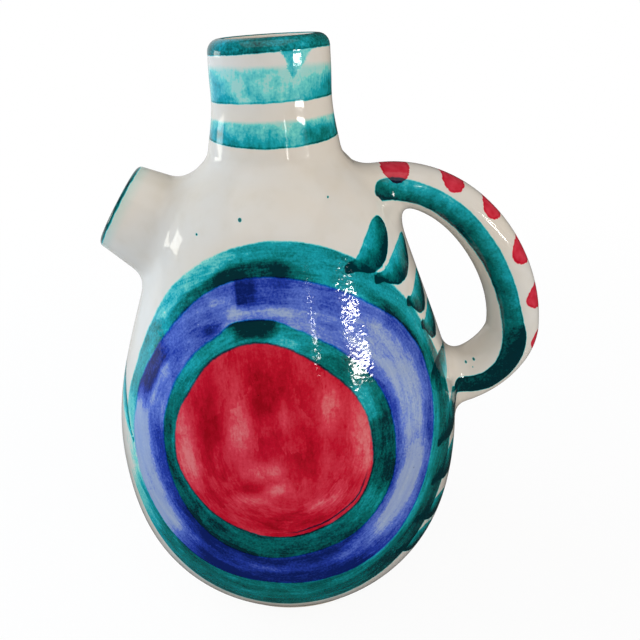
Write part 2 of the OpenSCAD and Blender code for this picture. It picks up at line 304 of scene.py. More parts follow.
class Outline:
    """Outer line of the thrown vessel as [radius, height], from the foot's edge to the neck's waist."""

    def __init__(self, shape):
        shoulder_h = NECK_ROOT - shape.shoulder_drop
        waist_h = NECK_ROOT + shape.waist_rise
        belly = [shape.belly_r, shape.belly_h]
        shoulder = [shape.shoulder_r, shoulder_h]
        root_r = shape.neck_root_r + shape.root_full
        root_lean = shape.root_lean * shape.neck_sweep
        root = [root_r, NECK_ROOT]
        waist = [shape.neck_r, waist_h]
        side_in = shape.side_run * shape.side_lean
        turn_in = shape.shoulder_turn * shape.side_lean
        spans = [
            [
                [shape.foot_r, shape.foot_edge],
                [shape.foot_r + shape.foot_lean, shape.foot_edge + shape.foot_rise],
                [shape.belly_r, shape.belly_h - shape.hold_low],
                belly,
            ],
            [
                belly,
                [shape.belly_r, shape.belly_h + shape.hold_high],
                [shape.shoulder_r + side_in, shoulder_h - shape.side_run],
                shoulder,
            ],
            [
                shoulder,
                [shape.shoulder_r - turn_in, shoulder_h + shape.shoulder_turn],
                [root_r + root_lean, NECK_ROOT - shape.neck_sweep],
                root,
            ],
            [
                root,
                [root_r - root_lean, NECK_ROOT + shape.neck_sweep],
                [shape.neck_r, waist_h - shape.neck_sweep],
                waist,
            ],
        ]
        places = np.linspace(0, 1, OUTLINE_STEPS, endpoint=False)
        line = np.vstack([bezier(span, places) for span in spans] + [[waist]])
        self.shoulder_h = shoulder_h
        self.waist_h = waist_h
        self.r = line[:, 0]
        self.z = line[:, 1]
        self.slope = np.gradient(self.r, self.z)

    def radius(self, z):
        """Outer radius at a height."""
        return np.interp(z, self.z, self.r)

    def part(self, low, high):
        """The outline between two heights."""
        inside = (self.z > low + TINY) & (self.z < high - TINY)
        ends = np.array([[self.radius(low), low], [self.radius(high), high]])
        return np.vstack([ends[:1], np.column_stack([self.r[inside], self.z[inside]]), ends[1:]])

    def inner(self, low, high, wall):
        """The outline between two heights, moved inwards by the wall's thickness."""
        line = self.part(low, high)
        slope = np.interp(line[:, 1], self.z, self.slope)
        lean = np.column_stack([-np.ones_like(slope), slope])
        return line + wall * unit(lean)

    def normals(self, points):
        """Directions in which the outer wall faces beside some points."""
        around = unit(points[..., :2])
        slope = np.interp(points[..., 2], self.z, self.slope)
        return unit(np.concatenate([around, -slope[..., None]], axis=-1))

    def onto(self, points, gap=0.0):
        """Points moved level to a set distance from the outer wall."""
        reach = np.linalg.norm(points[..., :2], axis=-1)
        scale = (self.radius(points[..., 2]) + gap) / reach
        return np.concatenate([points[..., :2] * scale[..., None], points[..., 2:]], axis=-1)

    def outside(self, points):
        """Distance of some points from the outer wall, measured level."""
        return np.linalg.norm(points[..., :2], axis=-1) - self.radius(points[..., 2])


class SpoutLimb:
    """Outer skin of the spout, by distance back from its mouth and by angle round its axis."""

    outer_place = 0.0

    def __init__(self, shape, spout, outline):
        self.axis = np.array([-math.cos(spout.tilt), 0, math.sin(spout.tilt)])
        self.up = np.array([math.sin(spout.tilt), 0, math.cos(spout.tilt)])
        self.mouth = np.array([-shape.shoulder_r - spout.reach, 0, outline.shoulder_h + spout.lift])
        self.spout = spout
        self.inner_place = spout.root

    def face(self, place, angle):
        """Directions away from the spout's axis."""
        angle = np.asarray(angle, float)[..., None]
        return self.up * np.cos(angle) + np.array([0, 1.0, 0]) * np.sin(angle)

    def at(self, place, radius, angle):
        """Points at a distance back from the mouth and a radius from the axis."""
        place = np.asarray(place, float)[..., None]
        radius = np.asarray(radius, float)[..., None]
        return self.mouth - place * self.axis + radius * self.face(place, angle)

    def bore(self, place, angle):
        """Points on the bore."""
        return self.at(place, self.spout.bore_r, angle)

    def off_axis(self, points):
        """Distances of some points from the spout's axis."""
        return np.linalg.norm(np.cross(points - self.mouth, self.axis), axis=-1)

    def point(self, place, angle):
        """Points on the skin."""
        place = np.asarray(place, float)
        return self.at(place, self.spout.mouth_r + place * self.spout.taper, angle)


class HandleLimb:
    """Skin of the handle, by place from 0 at the upper root to 2 at the lower root and by angle."""

    def __init__(self, shape, handle, outline):
        top_h = outline.shoulder_h + handle.lift
        low_x = float(outline.radius(handle.low_h)) - handle.bury
        far = [handle.reach, handle.mid_h]
        self.spans = [
            [
                [shape.neck_root_r, top_h],
                [shape.neck_root_r + handle.top_pull, top_h + handle.top_rise],
                [handle.reach, handle.mid_h + handle.high_pull],
                far,
            ],
            [
                far,
                [handle.reach, handle.mid_h - handle.low_pull],
                [low_x + handle.tuck, handle.low_h - handle.tuck_drop],
                [low_x, handle.low_h],
            ],
        ]
        self.halves = np.array([handle.top_t, handle.mid_t, handle.low_t]) / 2
        self.depth = handle.depth / 2
        self.power = 2 / handle.squareness
        self.swell = (handle.swell, handle.swell_at, handle.swell_run)

    def either(self, formula, place):
        """A curve's formula on the upper or the lower span."""
        place = np.asarray(place, float)
        high = formula(self.spans[0], np.clip(place, 0, 1))
        low = formula(self.spans[1], np.clip(place - 1, 0, 1))
        return np.where((place < 1)[..., None], high, low)

    def middle(self, place):
        """Points of the middle line as [x, z]."""
        return self.either(bezier, place)

    def half(self, place):
        """Half of the handle's thickness."""
        return np.interp(place, [0, 1, 2], self.halves)

    def point(self, place, angle):
        """Points on the skin. Angle 0 is the outer edge."""
        place = np.asarray(place, float)
        angle = np.asarray(angle, float)
        centre = self.middle(place)
        way = unit(self.either(bezier_pull, place))
        out = np.sign(np.cos(angle)) * np.abs(np.cos(angle)) ** self.power * self.half(place)
        amount, middle, run = self.swell
        fuller = 1 + amount * np.exp(-(((place - middle) / run) ** 2))
        out = np.where(np.cos(angle) < 0, out * fuller, out)
        deep = np.sign(np.sin(angle)) * np.abs(np.sin(angle)) ** self.power * self.depth
        x = centre[..., 0] - way[..., 1] * out
        z = centre[..., 1] + way[..., 0] * out
        return np.stack([x, deep + 0 * x, z], axis=-1)

    def face(self, place, angle):
        """Directions away from the middle line."""
        centre = self.middle(place)
        flat = np.stack([centre[..., 0], 0 * centre[..., 0], centre[..., 1]], axis=-1)
        return unit(self.point(place, angle) - flat)


def meeting(surface, angle, inner, outer, outline):
    """Places along a limb at which one of its surfaces meets the body."""
    low = np.full_like(angle, inner)
    high = np.full_like(angle, outer)
    for _ in range(SEARCH_STEPS):
        mid = (low + high) / 2
        clear = outline.outside(surface(mid, angle)) > 0
        high = np.where(clear, mid, high)
        low = np.where(clear, low, mid)
    return (low + high) / 2


def along_limb(limb, angle, start, outer, distance):
    """Places that lie a set distance along the skin from a starting place."""
    step = TINY * np.sign(outer - start)
    pace = np.linalg.norm(limb.point(start + step, angle) - limb.point(start, angle), axis=-1) / TINY
    return start + np.sign(outer - start) * distance / pace


# Meshes


def hand_shaped(points, shape):
    """Points moved as the potter's hands left them: a wall not quite round and a rim not quite level."""
    x, y, z = points.T
    around = np.arctan2(y, x)
    share = np.clip(np.hypot(x, y) / shape.belly_r, 0, 1) * np.clip(z / shape.belly_h, 0, 1)
    stray = np.sin(2 * around + STRAY_TURN) + STRAY_SHARE * np.sin(3 * around + STRAY_TWIST * z)
    swell = 1 + shape.unevenness * stray * share / shape.belly_r
    lift = (z - NECK_ROOT - shape.neck_full_h) / shape.neck_full_run
    swell = swell + shape.neck_full / shape.neck_r * np.exp(-(lift**2))
    rise = np.clip((z - NECK_ROOT) / (LIP_TOP - NECK_ROOT), 0, 1)
    rise = rise * rise * (3 - 2 * rise)
    tilt = shape.rim_lift + (shape.rim_tilt_side * x + shape.rim_tilt_back * y) / shape.neck_r
    return np.column_stack([x * swell, y * swell, z + rise * tilt])


def loop_faces(rows, sides, closed):
    """Quads between rows of points that each go once round. If closed, the last row joins the first."""
    faces = []
    last = rows if closed else rows - 1
    for i in range(last):
        k = (i + 1) % rows
        for j in range(sides):
            n = (j + 1) % sides
            faces.append((i * sides + j, i * sides + n, k * sides + n, k * sides + j))
    return faces


def turned(line, sides=TURN_SIDES):
    """Points of a line of [radius, height] turned round the vessel's axis."""
    angles = np.linspace(0, 2 * math.pi, sides, endpoint=False)
    r = line[:, :1]
    z = np.repeat(line[:, 1:], sides, axis=1)
    return np.stack([r * np.cos(angles), r * np.sin(angles), z], axis=-1).reshape(-1, 3)


def mesh_of(name, points, faces):
    """A mesh from points and faces."""
    mesh = bpy.data.meshes.new(name)
    mesh.from_pydata([tuple(p) for p in points], [], faces)
    mesh.validate()
    return mesh


def points_of(mesh):
    """The mesh's points as an array."""
    flat = np.empty(len(mesh.vertices) * 3, np.float32)
    mesh.vertices.foreach_get("co", flat)
    return flat.reshape(-1, 3).astype(float)


def store(mesh, name, values):
    """Keeps one number for each point of a mesh, for the materials to read."""
    layer = mesh.attributes.new(name, "FLOAT", "POINT")
    layer.data.foreach_set("value", np.asarray(values, np.float32))


def finished(name, mesh, material, node, facing=None, outside=None):
    """Makes a mesh a piece: paints its places, shapes it by hand, smooths it, hangs it under the root and
    hides its node's solid.
    """
    scene = bpy.context.scene
    points = points_of(mesh)
    for field, values in painted_places(points, scene).items():
        store(mesh, field, values)
    store(mesh, "outside", np.ones(len(points)) if outside is None else outside)
    shaped = hand_shaped(points, scene.carafe_vessel)
    mesh.vertices.foreach_set("co", shaped.astype(np.float32).ravel())
    mesh.polygons.foreach_set("use_smooth", np.ones(len(mesh.polygons), bool))
    mesh.update()
    mesh.set_sharp_from_angle(angle=SMOOTH_ANGLE)
    if facing is not None:
        mesh.normals_split_custom_set_from_vertices([tuple(n) for n in facing])
    mesh.materials.append(material)
    piece = bpy.data.objects.new(name, mesh)
    scene.collection.objects.link(piece)
    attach(piece, "root")
    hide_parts(node)
    return piece


def wall_facing(points, outline):
    """Exact directions on the outer wall, so that neighbouring pieces shade as one, and none elsewhere."""
    on_wall = np.abs(outline.outside(points)) < TINY
    on_wall &= points[:, 2] < outline.waist_h
    return np.where(on_wall[:, None], outline.normals(points), 0.0)


def with_hole(mesh, tool):
    """The mesh with a tool's shape cut out of it."""
    scene = bpy.context.scene
    block = bpy.data.objects.new("uncut", mesh)
    cutter = bpy.data.objects.new("cutter", tool)
    for thing in (block, cutter):
        scene.collection.objects.link(thing)
    cut = block.modifiers.new("hole", "BOOLEAN")
    cut.operation = "DIFFERENCE"
    cut.solver = "EXACT"
    cut.object = cutter
    bpy.context.view_layer.update()
    graph = bpy.context.evaluated_depsgraph_get()
    result = bpy.data.meshes.new_from_object(block.evaluated_get(graph))
    for thing in (block, cutter):
        bpy.data.objects.remove(thing)
    return result


# Painted places, worked out on each point of a mesh


# Brushed leaves beside the rings: tip, bend and stem as [distance round the wall, height], half breadth,
# and how much thicker than usual the paint is, over all and at the stem
LEAVES = [
    ((39.5, 157.2), (38.5, 149), (23.6, 148.4), 6.9, 0.18, 0.34),
    ((60, 147.4), (52, 141), (36, 142.3), 6.5, 0.16, 0.34),
    ((74, 131), (66, 126), (53.5, 130), 6.2, 0.2, 0.26),
    ((83, 118), (74, 114), (62.5, 119.3), 5.9, 0.22, 0.22),
    ((66, 99.5), (78, 97), (94, 101.5), 6.3, 0.06, 0.0),
    ((93, 79.5), (82, 76.5), (66, 75), 7.2, 0.28, 0.06),
    ((92, 57), (77, 60), (62, 59.5), 7.4, 0.3, 0.06),
    ((78, 39.5), (66, 42.5), (51, 47), 5.8, 0.34, 0.06),
    ((65, 28.5), (55, 31.5), (42, 35), 7.0, 0.34, 0.06),
    ((-93, 101), (-83, 92), (-71.5, 82), 5.0, -0.12, 0.0),
]
# On the back the second leaf is shorter, to stay clear of the spout
BACK_LEAVES = [LEAVES[0], ((49, 144.8), (45.5, 141), (36, 142.3), 5.4, 0.16, 0.34), *LEAVES[2:]]
LEAF_STEPS = 32
LEAF_STATIONS = [0, 0.15, 0.35, 0.55, 0.75, 0.9, 1]
LEAF_BREADTHS = [0.6, 0.9, 1.0, 0.86, 0.52, 0.26, 0.28]
LEAF_SHADES = [0.7, 0.62, 0.6, 0.56, 0.52, 0.56, 0.6]
LEAF_LEAN = 0.34
# Where along a leaf the thick dot at its stem begins, and over what run
LEAF_DOT_AT = 0.9
LEAF_DOT_RUN = 0.06
# Share of the glaze's shine that the thick paint of the leaves lacks
LEAF_DULL = 0.9

# Small stray spots of green on the side that faces forward: x, height and radius
SPOTS = [
    (-12.9, 165.4, 0.6),
    (17.0, 170.0, 0.3),
    (-28.0, 160.0, 0.35),
    (75.8, 90.1, 0.4),
    (79.1, 91.3, 0.48),
    (78.3, 88.6, 0.22),
]
SPOT_PAINT = 0.85

# Long stroke on the handle: distance along it, offset outwards from its middle, half breadth,
# thickness of paint and how much thicker the paint is on the outer side
HANDLE_STROKE = [
    (15.0, 0.6, 3.2, 0.86, -0.2),
    (19.0, 0.4, 3.9, 0.74, -0.26),
    (24.0, -0.4, 4.2, 0.6, -0.26),
    (33.0, -1.3, 4.0, 0.64, -0.26),
    (46.0, -2.8, 4.3, 0.7, -0.26),
    (63.0, -4.2, 4.1, 0.7, -0.26),
    (82.0, -4.4, 3.9, 0.72, -0.24),
    (98.0, -4.1, 3.8, 0.76, -0.1),
    (106.5, -3.3, 4.1, 0.8, 0.02),
    (109.0, -2.9, 4.4, 0.96, 0.16),
    (114.0, -2.1, 4.7, 1.06, 0.22),
    (121.0, -0.4, 4.9, 1.1, 0.22),
    (127.0, 1.0, 4.8, 1.08, 0.18),
    (135.0, 1.4, 4.5, 1.02, 0.12),
    (142.0, -0.6, 3.7, 1.0, 0.06),
    (147.5, -3.0, 3.1, 1.0, 0.0),
]
STROKE_STEPS = 180

# Red dabs over the handle's outer edge: distance along, half length and how far each hangs down the side
DABS = [
    (20.5, 4.6, 5.6),
    (40.6, 4.4, 4.8),
    (57.4, 4.6, 4.8),
    (77.2, 5.4, 6.8),
    (96.6, 4.8, 7.4),
    (113.5, 3.4, 4.8),
]
FAR = -6.0

# How near the handle's plane its stroke stays, as a share of its depth, how far off the wall a limb
# begins, as a share of the coils' height, and how far the spout's paint reaches, as a share of its mouth
NEAR_HANDLE = 0.8
OFF_WALL = 0.5
NEAR_SPOUT = 1.5

# Share of the paint's relief that the neck's thin bands have
NECK_FILM = 0.3

# Edges of the rings: the setting with the mean radius, and how far each strays from a circle
# in millimetres, as waves of one turn and more
RINGS = {
    "disc": ("disc_r", (-3.0, 0.5, 0.5, -1.1, 0.2, -1.0, 0.2, 0.4, -0.5, -0.1)),
    "inner": ("inner_r", (-1.4, -1.5, -0.4, -0.7, 0.6, -1.2, -0.2, 0.1, -0.4, 0.3)),
    "blue": ("blue_r", (1.1, -2.4, -0.4, 0.4, 0.1, -2.0, -0.4, 0.8, -0.2, 0.5)),
    "outer": ("outer_r", (2.8, -6.5, -4.7, 0.1, 0.6, -2.5)),
}

# Lighter and thicker strokes in the disc, tall lighter patches that are painted reflections, a pale spot
# low in the middle that is a painted highlight, and a darker place at the bottom: thickness added,
# middle across and up from the rings' centre, half breadth and half height
DISC_TOUCHES_AND_HIGHLIGHTS = [
    # Painted reflection: a tall lighter patch left of the middle
    (-0.28, -15.0, 9.5, 4.0, 11.0),
    (-0.28, -6.5, -5.9, 6.8, 3.4),
    # Painted highlight: a pale spot low in the middle
    (-0.26, -3.5, -12.8, 4.2, 2.2),
    (-0.2, -11.5, -17.3, 7.0, 2.6),
    (-0.24, 0.9, 14.0, 2.0, 5.5),
    (-0.27, 17.0, 12.5, 4.4, 8.5),
    (-0.32, 28.0, -1.0, 5.0, 15.0),
    (-0.3, -33.5, 0.0, 6.0, 15.0),
    (-0.18, 14.0, -19.0, 8.0, 2.8),
    (-0.14, -14.0, 24.0, 3.0, 6.0),
    (0.26, -3.0, 22.0, 8.0, 9.0),
    (0.2, 8.0, 2.0, 5.0, 9.0),
    (0.18, -8.0, 12.0, 3.4, 8.0),
    (0.2, -26.0, 10.0, 5.0, 12.0),
    (0.14, -11.7, -12.2, 5.0, 2.2),
    # Darker towards the bottom of the disc
    (0.16, 0.0, -27.0, 12.0, 4.0),
]


def brush_line(places, line, half, shade, lean):
    """How far inside a brushed line some places lie, and how thick the paint is there.

    The line is a row of points with half breadths, and lean is how much thicker the paint is on its left."""
    step = unit(np.gradient(line, axis=0))
    inside = np.full(len(places), FAR)
    thick = np.zeros(len(places))
    leans = np.broadcast_to(lean, len(line))
    for point, way, breadth, paint, more in zip(line, step, half, shade, leans):
        offset = places - point
        depth = breadth - np.hypot(offset[:, 0], offset[:, 1])
        side = (offset[:, 1] * way[0] - offset[:, 0] * way[1]) / breadth
        nearer = depth > inside
        thick = np.where(nearer, paint + more * np.clip(side, -1, 1), thick)
        inside = np.where(nearer, depth, inside)
    return inside, thick


def leaf_paint(places, leaves):
    """Depth inside the nearest leaf and its thickness of paint, for places [round the wall, height]."""
    inside = np.full(len(places), FAR)
    thick = np.zeros(len(places))
    t = np.linspace(0, 1, LEAF_STEPS)
    plain = np.interp(t, LEAF_STATIONS, LEAF_SHADES)
    for tip, bend, stem, breadth, thicker, dot in leaves:
        shade = plain + thicker + dot * np.clip((t - LEAF_DOT_AT) / LEAF_DOT_RUN, 0, 1)
        weights = np.column_stack([(1 - t) ** 2, 2 * t * (1 - t), t * t])
        line = weights @ np.array([tip, bend, stem], float)
        half = breadth * np.interp(t, LEAF_STATIONS, LEAF_BREADTHS)
        depth, paint = brush_line(places, line, half, shade, LEAF_LEAN)
        thick = np.where(depth > inside, paint, thick)
        inside = np.maximum(inside, depth)
    return inside, thick


def handle_places(points, limb):
    """The handle's middle line with its runs and directions, and where some points lie beside it.

    That is the distance along the line, the offset outwards and half of the thickness there."""
    s = np.linspace(0, 2, OUTLINE_STEPS)
    line = limb.middle(s) * MM
    way = unit(np.gradient(line, axis=0))
    run = np.concatenate([[0], np.cumsum(np.linalg.norm(np.diff(line, axis=0), axis=1))])
    flat = points[:, [0, 2]] * MM
    nearest = np.full(len(points), 0)
    best = np.full(len(points), np.inf)
    for k in range(len(line)):
        gap = np.hypot(flat[:, 0] - line[k, 0], flat[:, 1] - line[k, 1])
        nearest = np.where(gap < best, k, nearest)
        best = np.minimum(gap, best)
    offset = flat - line[nearest]
    across = offset[:, 1] * way[nearest, 0] - offset[:, 0] * way[nearest, 1]
    return run, line, way, run[nearest], across, limb.half(s[nearest]) * MM


def handle_paint(points, limb):
    """Depths inside the handle's long stroke and its dabs, and the stroke's thickness of paint."""
    run, line, way, along, across, half = handle_places(points, limb)
    stations = np.array(HANDLE_STROKE)
    t = np.linspace(stations[0, 0], stations[-1, 0], STROKE_STEPS)
    offset, breadth, shade, lean = (np.interp(t, stations[:, 0], stations[:, k]) for k in (1, 2, 3, 4))
    base = np.column_stack([np.interp(t, run, line[:, k]) for k in (0, 1)])
    out = np.column_stack([-np.interp(t, run, way[:, 1]), np.interp(t, run, way[:, 0])])
    stroke = base + offset[:, None] * out
    side = points[:, [0, 2]] * MM
    inside, thick = brush_line(side, stroke, breadth, shade, lean)
    dabs = np.full(len(points), FAR)
    for middle, reach, hang in DABS:
        share = np.hypot((along - middle) / reach, np.minimum(across - half, 0) / hang)
        dabs = np.maximum(dabs, (1 - share) * min(reach, hang))
    return inside, thick, dabs


def ring_gaps(points, work):
    """How far outside each ring's edge some points lie, in millimetres, and the strokes and painted
    highlights in the disc.
    """
    x, y, z = points.T
    dx = np.where(y < 0, x, -x) - work.centre_x
    dz = z - work.centre_z
    turned_to = np.arctan2(dz, dx)
    gaps = {}
    for name, (setting, waves) in RINGS.items():
        edge = getattr(work, setting) * MM
        for k, amount in enumerate(waves):
            wave = np.sin if k % 2 else np.cos
            edge = edge + amount * wave((k // 2 + 1) * turned_to)
        gaps[name + "_gap"] = np.hypot(dx, dz) * MM - edge
    gaps["disc_touch_and_highlight"] = np.zeros(len(points))
    for amount, across, up, wide, tall in DISC_TOUCHES_AND_HIGHLIGHTS:
        reach = np.hypot((dx * MM - across) / wide, (dz * MM - up) / tall)
        gaps["disc_touch_and_highlight"] += amount * np.exp(-(reach**3))
    return gaps


def painted_places(points, scene):
    """Every painted depth and thickness that the glazes read, for the points of one mesh."""
    shape = scene.carafe_vessel
    outline = Outline(shape)
    spout = SpoutLimb(shape, scene.carafe_spout, outline)
    handle = HandleLimb(shape, scene.carafe_handle, outline)
    x, y, z = points.T
    around = np.arctan2(x, -y)
    around = np.where(np.abs(around) > math.pi / 2, around - math.pi * np.sign(around), around)
    wall = np.column_stack([np.hypot(x, y) * around, z]) * MM
    leaf = np.full(len(points), FAR)
    leaf_thick = np.zeros(len(points))
    for side, leaves in ((y < 0, LEAVES), (y >= 0, BACK_LEAVES)):
        leaf[side], leaf_thick[side] = leaf_paint(wall[side], leaves)
    stroke, stroke_thick, dabs = handle_paint(points, handle)
    off_wall = outline.outside(points)
    near_handle = (x > 0) & (np.abs(y) < NEAR_HANDLE * scene.carafe_handle.depth) & (off_wall > -TINY)
    stroke = np.where(near_handle, stroke, FAR)
    on_limb = off_wall > OFF_WALL * scene.carafe_handle.coil_h
    leaf = np.where(on_limb, FAR, leaf)
    back = -((points - spout.mouth) @ spout.axis) * MM
    on_spout = (x < 0) & (spout.off_axis(points) < NEAR_SPOUT * scene.carafe_spout.mouth_r)
    work = scene.carafe_brushwork
    gaps = ring_gaps(points, work)
    rings = np.where(on_limb | (z > NECK_ROOT), FAR, -gaps["outer_gap"])
    film = np.maximum(np.maximum(leaf, stroke), rings)
    bands = (
        (work.rim_low, LIP_TOP),
        (work.band_high_low, work.band_high_top),
        (work.band_low_low, work.band_low_top),
    )
    for low, high in bands:
        film = np.maximum(film, np.where(z > NECK_ROOT, np.minimum(z - low, high - z) * MM, FAR))
    return {
        **gaps,
        "film": np.clip(film + 0.5, 0, 1) * np.where(z > NECK_ROOT, NECK_FILM, 1.0),
        "green_depth": np.maximum(leaf, stroke),
        "green_paint": np.where(leaf > stroke, leaf_thick, stroke_thick),
        "red_depth": np.where(near_handle & on_limb, dabs, FAR),
        "spout_back": np.where(on_spout, back, -FAR * MM),
    }


# Materials


class Field:
    """A number that varies over a surface: the output of a node."""

    def __init__(self, brush, socket):
        self.brush = brush
        self.socket = socket

    def __add__(self, other):
        return self.brush.math("ADD", self, other)

    def __sub__(self, other):
        return self.brush.math("SUBTRACT", self, other)

    def __rsub__(self, other):
        return self.brush.math("SUBTRACT", other, self)

    def __mul__(self, other):
        return self.brush.math("MULTIPLY", self, other)

    def __truediv__(self, other):
        return self.brush.math("DIVIDE", self, other)

    __radd__ = __add__
    __rmul__ = __mul__

    def above(self, low, high):
        """0 below low, 1 above high and a smooth rise between."""
        return self.brush.smooth(self, low, high)

    def below(self, low, high):
        """1 below low, 0 above high and a smooth fall between."""
        return 1 - self.above(low, high)


class Brush:
    """Makes the nodes of one material or world."""

    def __init__(self, owner):
        owner.use_nodes = True
        self.owner = owner
        self.tree = owner.node_tree
        self.tree.nodes.clear()

    def node(self, kind, **settings):
        """A new node with its settings."""
        made = self.tree.nodes.new(kind)
        for key, value in settings.items():
            setattr(made, key, value)
        return made

    def plug(self, socket, value):
        """Links a field to a socket, or sets a plain value on it."""
        if isinstance(value, Field):
            self.tree.links.new(value.socket, socket)
        elif isinstance(value, bpy.types.NodeSocket):
            self.tree.links.new(value, socket)
        else:
            socket.default_value = value

    def math(self, operation, *values):
        """A Math node."""
        made = self.node("ShaderNodeMath", operation=operation)
        for socket, value in zip(made.inputs, values):
            self.plug(socket, value)
        return Field(self, made.outputs[0])

    def smooth(self, value, low, high):
        """A smooth rise from 0 at low to 1 at high."""
        made = self.node("ShaderNodeMapRange", interpolation_type="SMOOTHSTEP")
        self.plug(made.inputs["Value"], value)
        self.plug(made.inputs["From Min"], low)
        self.plug(made.inputs["From Max"], high)
        return Field(self, made.outputs[0])

    def most(self, first, second):
        """The greater of two fields."""
        return self.math("MAXIMUM", first, second)

    def vector(self, x, y, z):
        """Three fields as one vector."""
        made = self.node("ShaderNodeCombineXYZ")
        for socket, value in zip(made.inputs, (x, y, z)):
            self.plug(socket, value)
        return made.outputs[0]

    def split(self, vector):
        """The three parts of a vector."""
        made = self.node("ShaderNodeSeparateXYZ")
        self.plug(made.inputs[0], vector)
        return [Field(self, socket) for socket in made.outputs]

    def noise(self, vector, size, detail=2.0, rough=0.5):
        """Cloudy noise from about -1 to 1, with clouds of a set size."""
        made = self.node("ShaderNodeTexNoise")
        self.plug(made.inputs["Vector"], vector)
        made.inputs["Scale"].default_value = 1 / size
        made.inputs["Detail"].default_value = detail
        made.inputs["Roughness"].default_value = rough
        return Field(self, made.outputs[0]) * 2 - 1

    def cells(self, vector, size):
        """Distance to the nearest of some scattered points, and a random number for that point."""
        made = self.node("ShaderNodeTexVoronoi")
        self.plug(made.inputs["Vector"], vector)
        made.inputs["Scale"].default_value = 1 / size
        chance = self.node("ShaderNodeSeparateColor")
        self.plug(chance.inputs[0], made.outputs["Color"])
        return Field(self, made.outputs["Distance"]), Field(self, chance.outputs[0])

    def patches(self, vector):
        """A random number from -1 to 1 for each of many ragged patches about one unit wide."""
        drift = self.node("ShaderNodeTexNoise")
        self.plug(drift.inputs["Vector"], vector)
        drift.inputs["Scale"].default_value = 2.5
        drift.inputs["Detail"].default_value = 4.0
        moved = self.node("ShaderNodeVectorMath", operation="MULTIPLY_ADD")
        self.plug(moved.inputs[0], drift.outputs["Color"])
        moved.inputs[1].default_value = (0.7, 0.7, 0.7)
        self.plug(moved.inputs[2], vector)
        return self.cells(moved.outputs[0], 1.0)[1] * 2 - 1

    def kept(self, name):
        """A number stored on the mesh's points."""
        made = self.node("ShaderNodeAttribute", attribute_name=name)
        return Field(self, made.outputs["Fac"])

    def ramp(self, value, stops):
        """Colours between stops of (place, colour)."""
        made = self.node("ShaderNodeValToRGB")
        self.plug(made.inputs[0], value)
        steps = made.color_ramp.elements
        while len(steps) < len(stops):
            steps.new(0.5)
        for step, (place, colour) in zip(steps, stops):
            step.position = place
            step.color = (*colour, 1)
        return made.outputs[0]

    def blend(self, how, amount, first, second):
        """Two colours mixed or multiplied."""
        made = self.node("ShaderNodeMix", data_type="RGBA", blend_type=how)
        self.plug(made.inputs["Factor"], amount)
        colours = [s for s in made.inputs if s.type == "RGBA"]
        self.plug(colours[0], first if isinstance(first, bpy.types.NodeSocket) else (*first, 1))
        self.plug(colours[1], second if isinstance(second, bpy.types.NodeSocket) else (*second, 1))
        return next(s for s in made.outputs if s.type == "RGBA")

    def mixed(self, amount, first, second):
        """Two shaders mixed."""
        made = self.node("ShaderNodeMixShader")
        for socket, value in zip(made.inputs, (amount, first, second)):
            self.plug(socket, value)
        return made.outputs[0]

    def surface(self, colour, roughness, relief):
        """A Principled shader with a relief in millimetres."""
        bump = self.node("ShaderNodeBump")
        bump.inputs["Distance"].default_value = 1 / MM
        self.plug(bump.inputs["Height"], relief)
        made = self.node("ShaderNodeBsdfPrincipled")
        self.plug(made.inputs["Base Color"], colour)
        self.plug(made.inputs["Roughness"], roughness)
        self.plug(made.inputs["Normal"], bump.outputs[0])
        return made

    def rays(self):
        """Whether a ray comes from the camera, from a mirroring surface and through glass."""
        path = self.node("ShaderNodeLightPath")
        kinds = ("Is Camera Ray", "Is Glossy Ray", "Is Transmission Ray")
        return [Field(self, path.outputs[kind]) for kind in kinds]

    def finish(self, surface, kind="ShaderNodeOutputMaterial"):
        """Joins the last shader to the output."""
        self.plug(self.node(kind).inputs["Surface"], surface)
        return self.owner


def linear(colour):
    """A screen colour as the light that it stands for."""
    return np.array(Color(colour).from_srgb_to_scene_linear())


class Place:
    """Where a point of the glaze lies, in millimetres."""

    def __init__(self, brush):
        spot = brush.node("ShaderNodeTexCoord")
        scale = brush.node("ShaderNodeVectorMath", operation="SCALE")
        brush.plug(scale.inputs[0], spot.outputs["Object"])
        scale.inputs["Scale"].default_value = MM
        self.vector = scale.outputs[0]
        self.x, self.y, self.z = brush.split(self.vector)
        self.front = brush.math("LESS_THAN", self.y, 0.0)
        self.across = self.x * (self.front * 2 - 1)


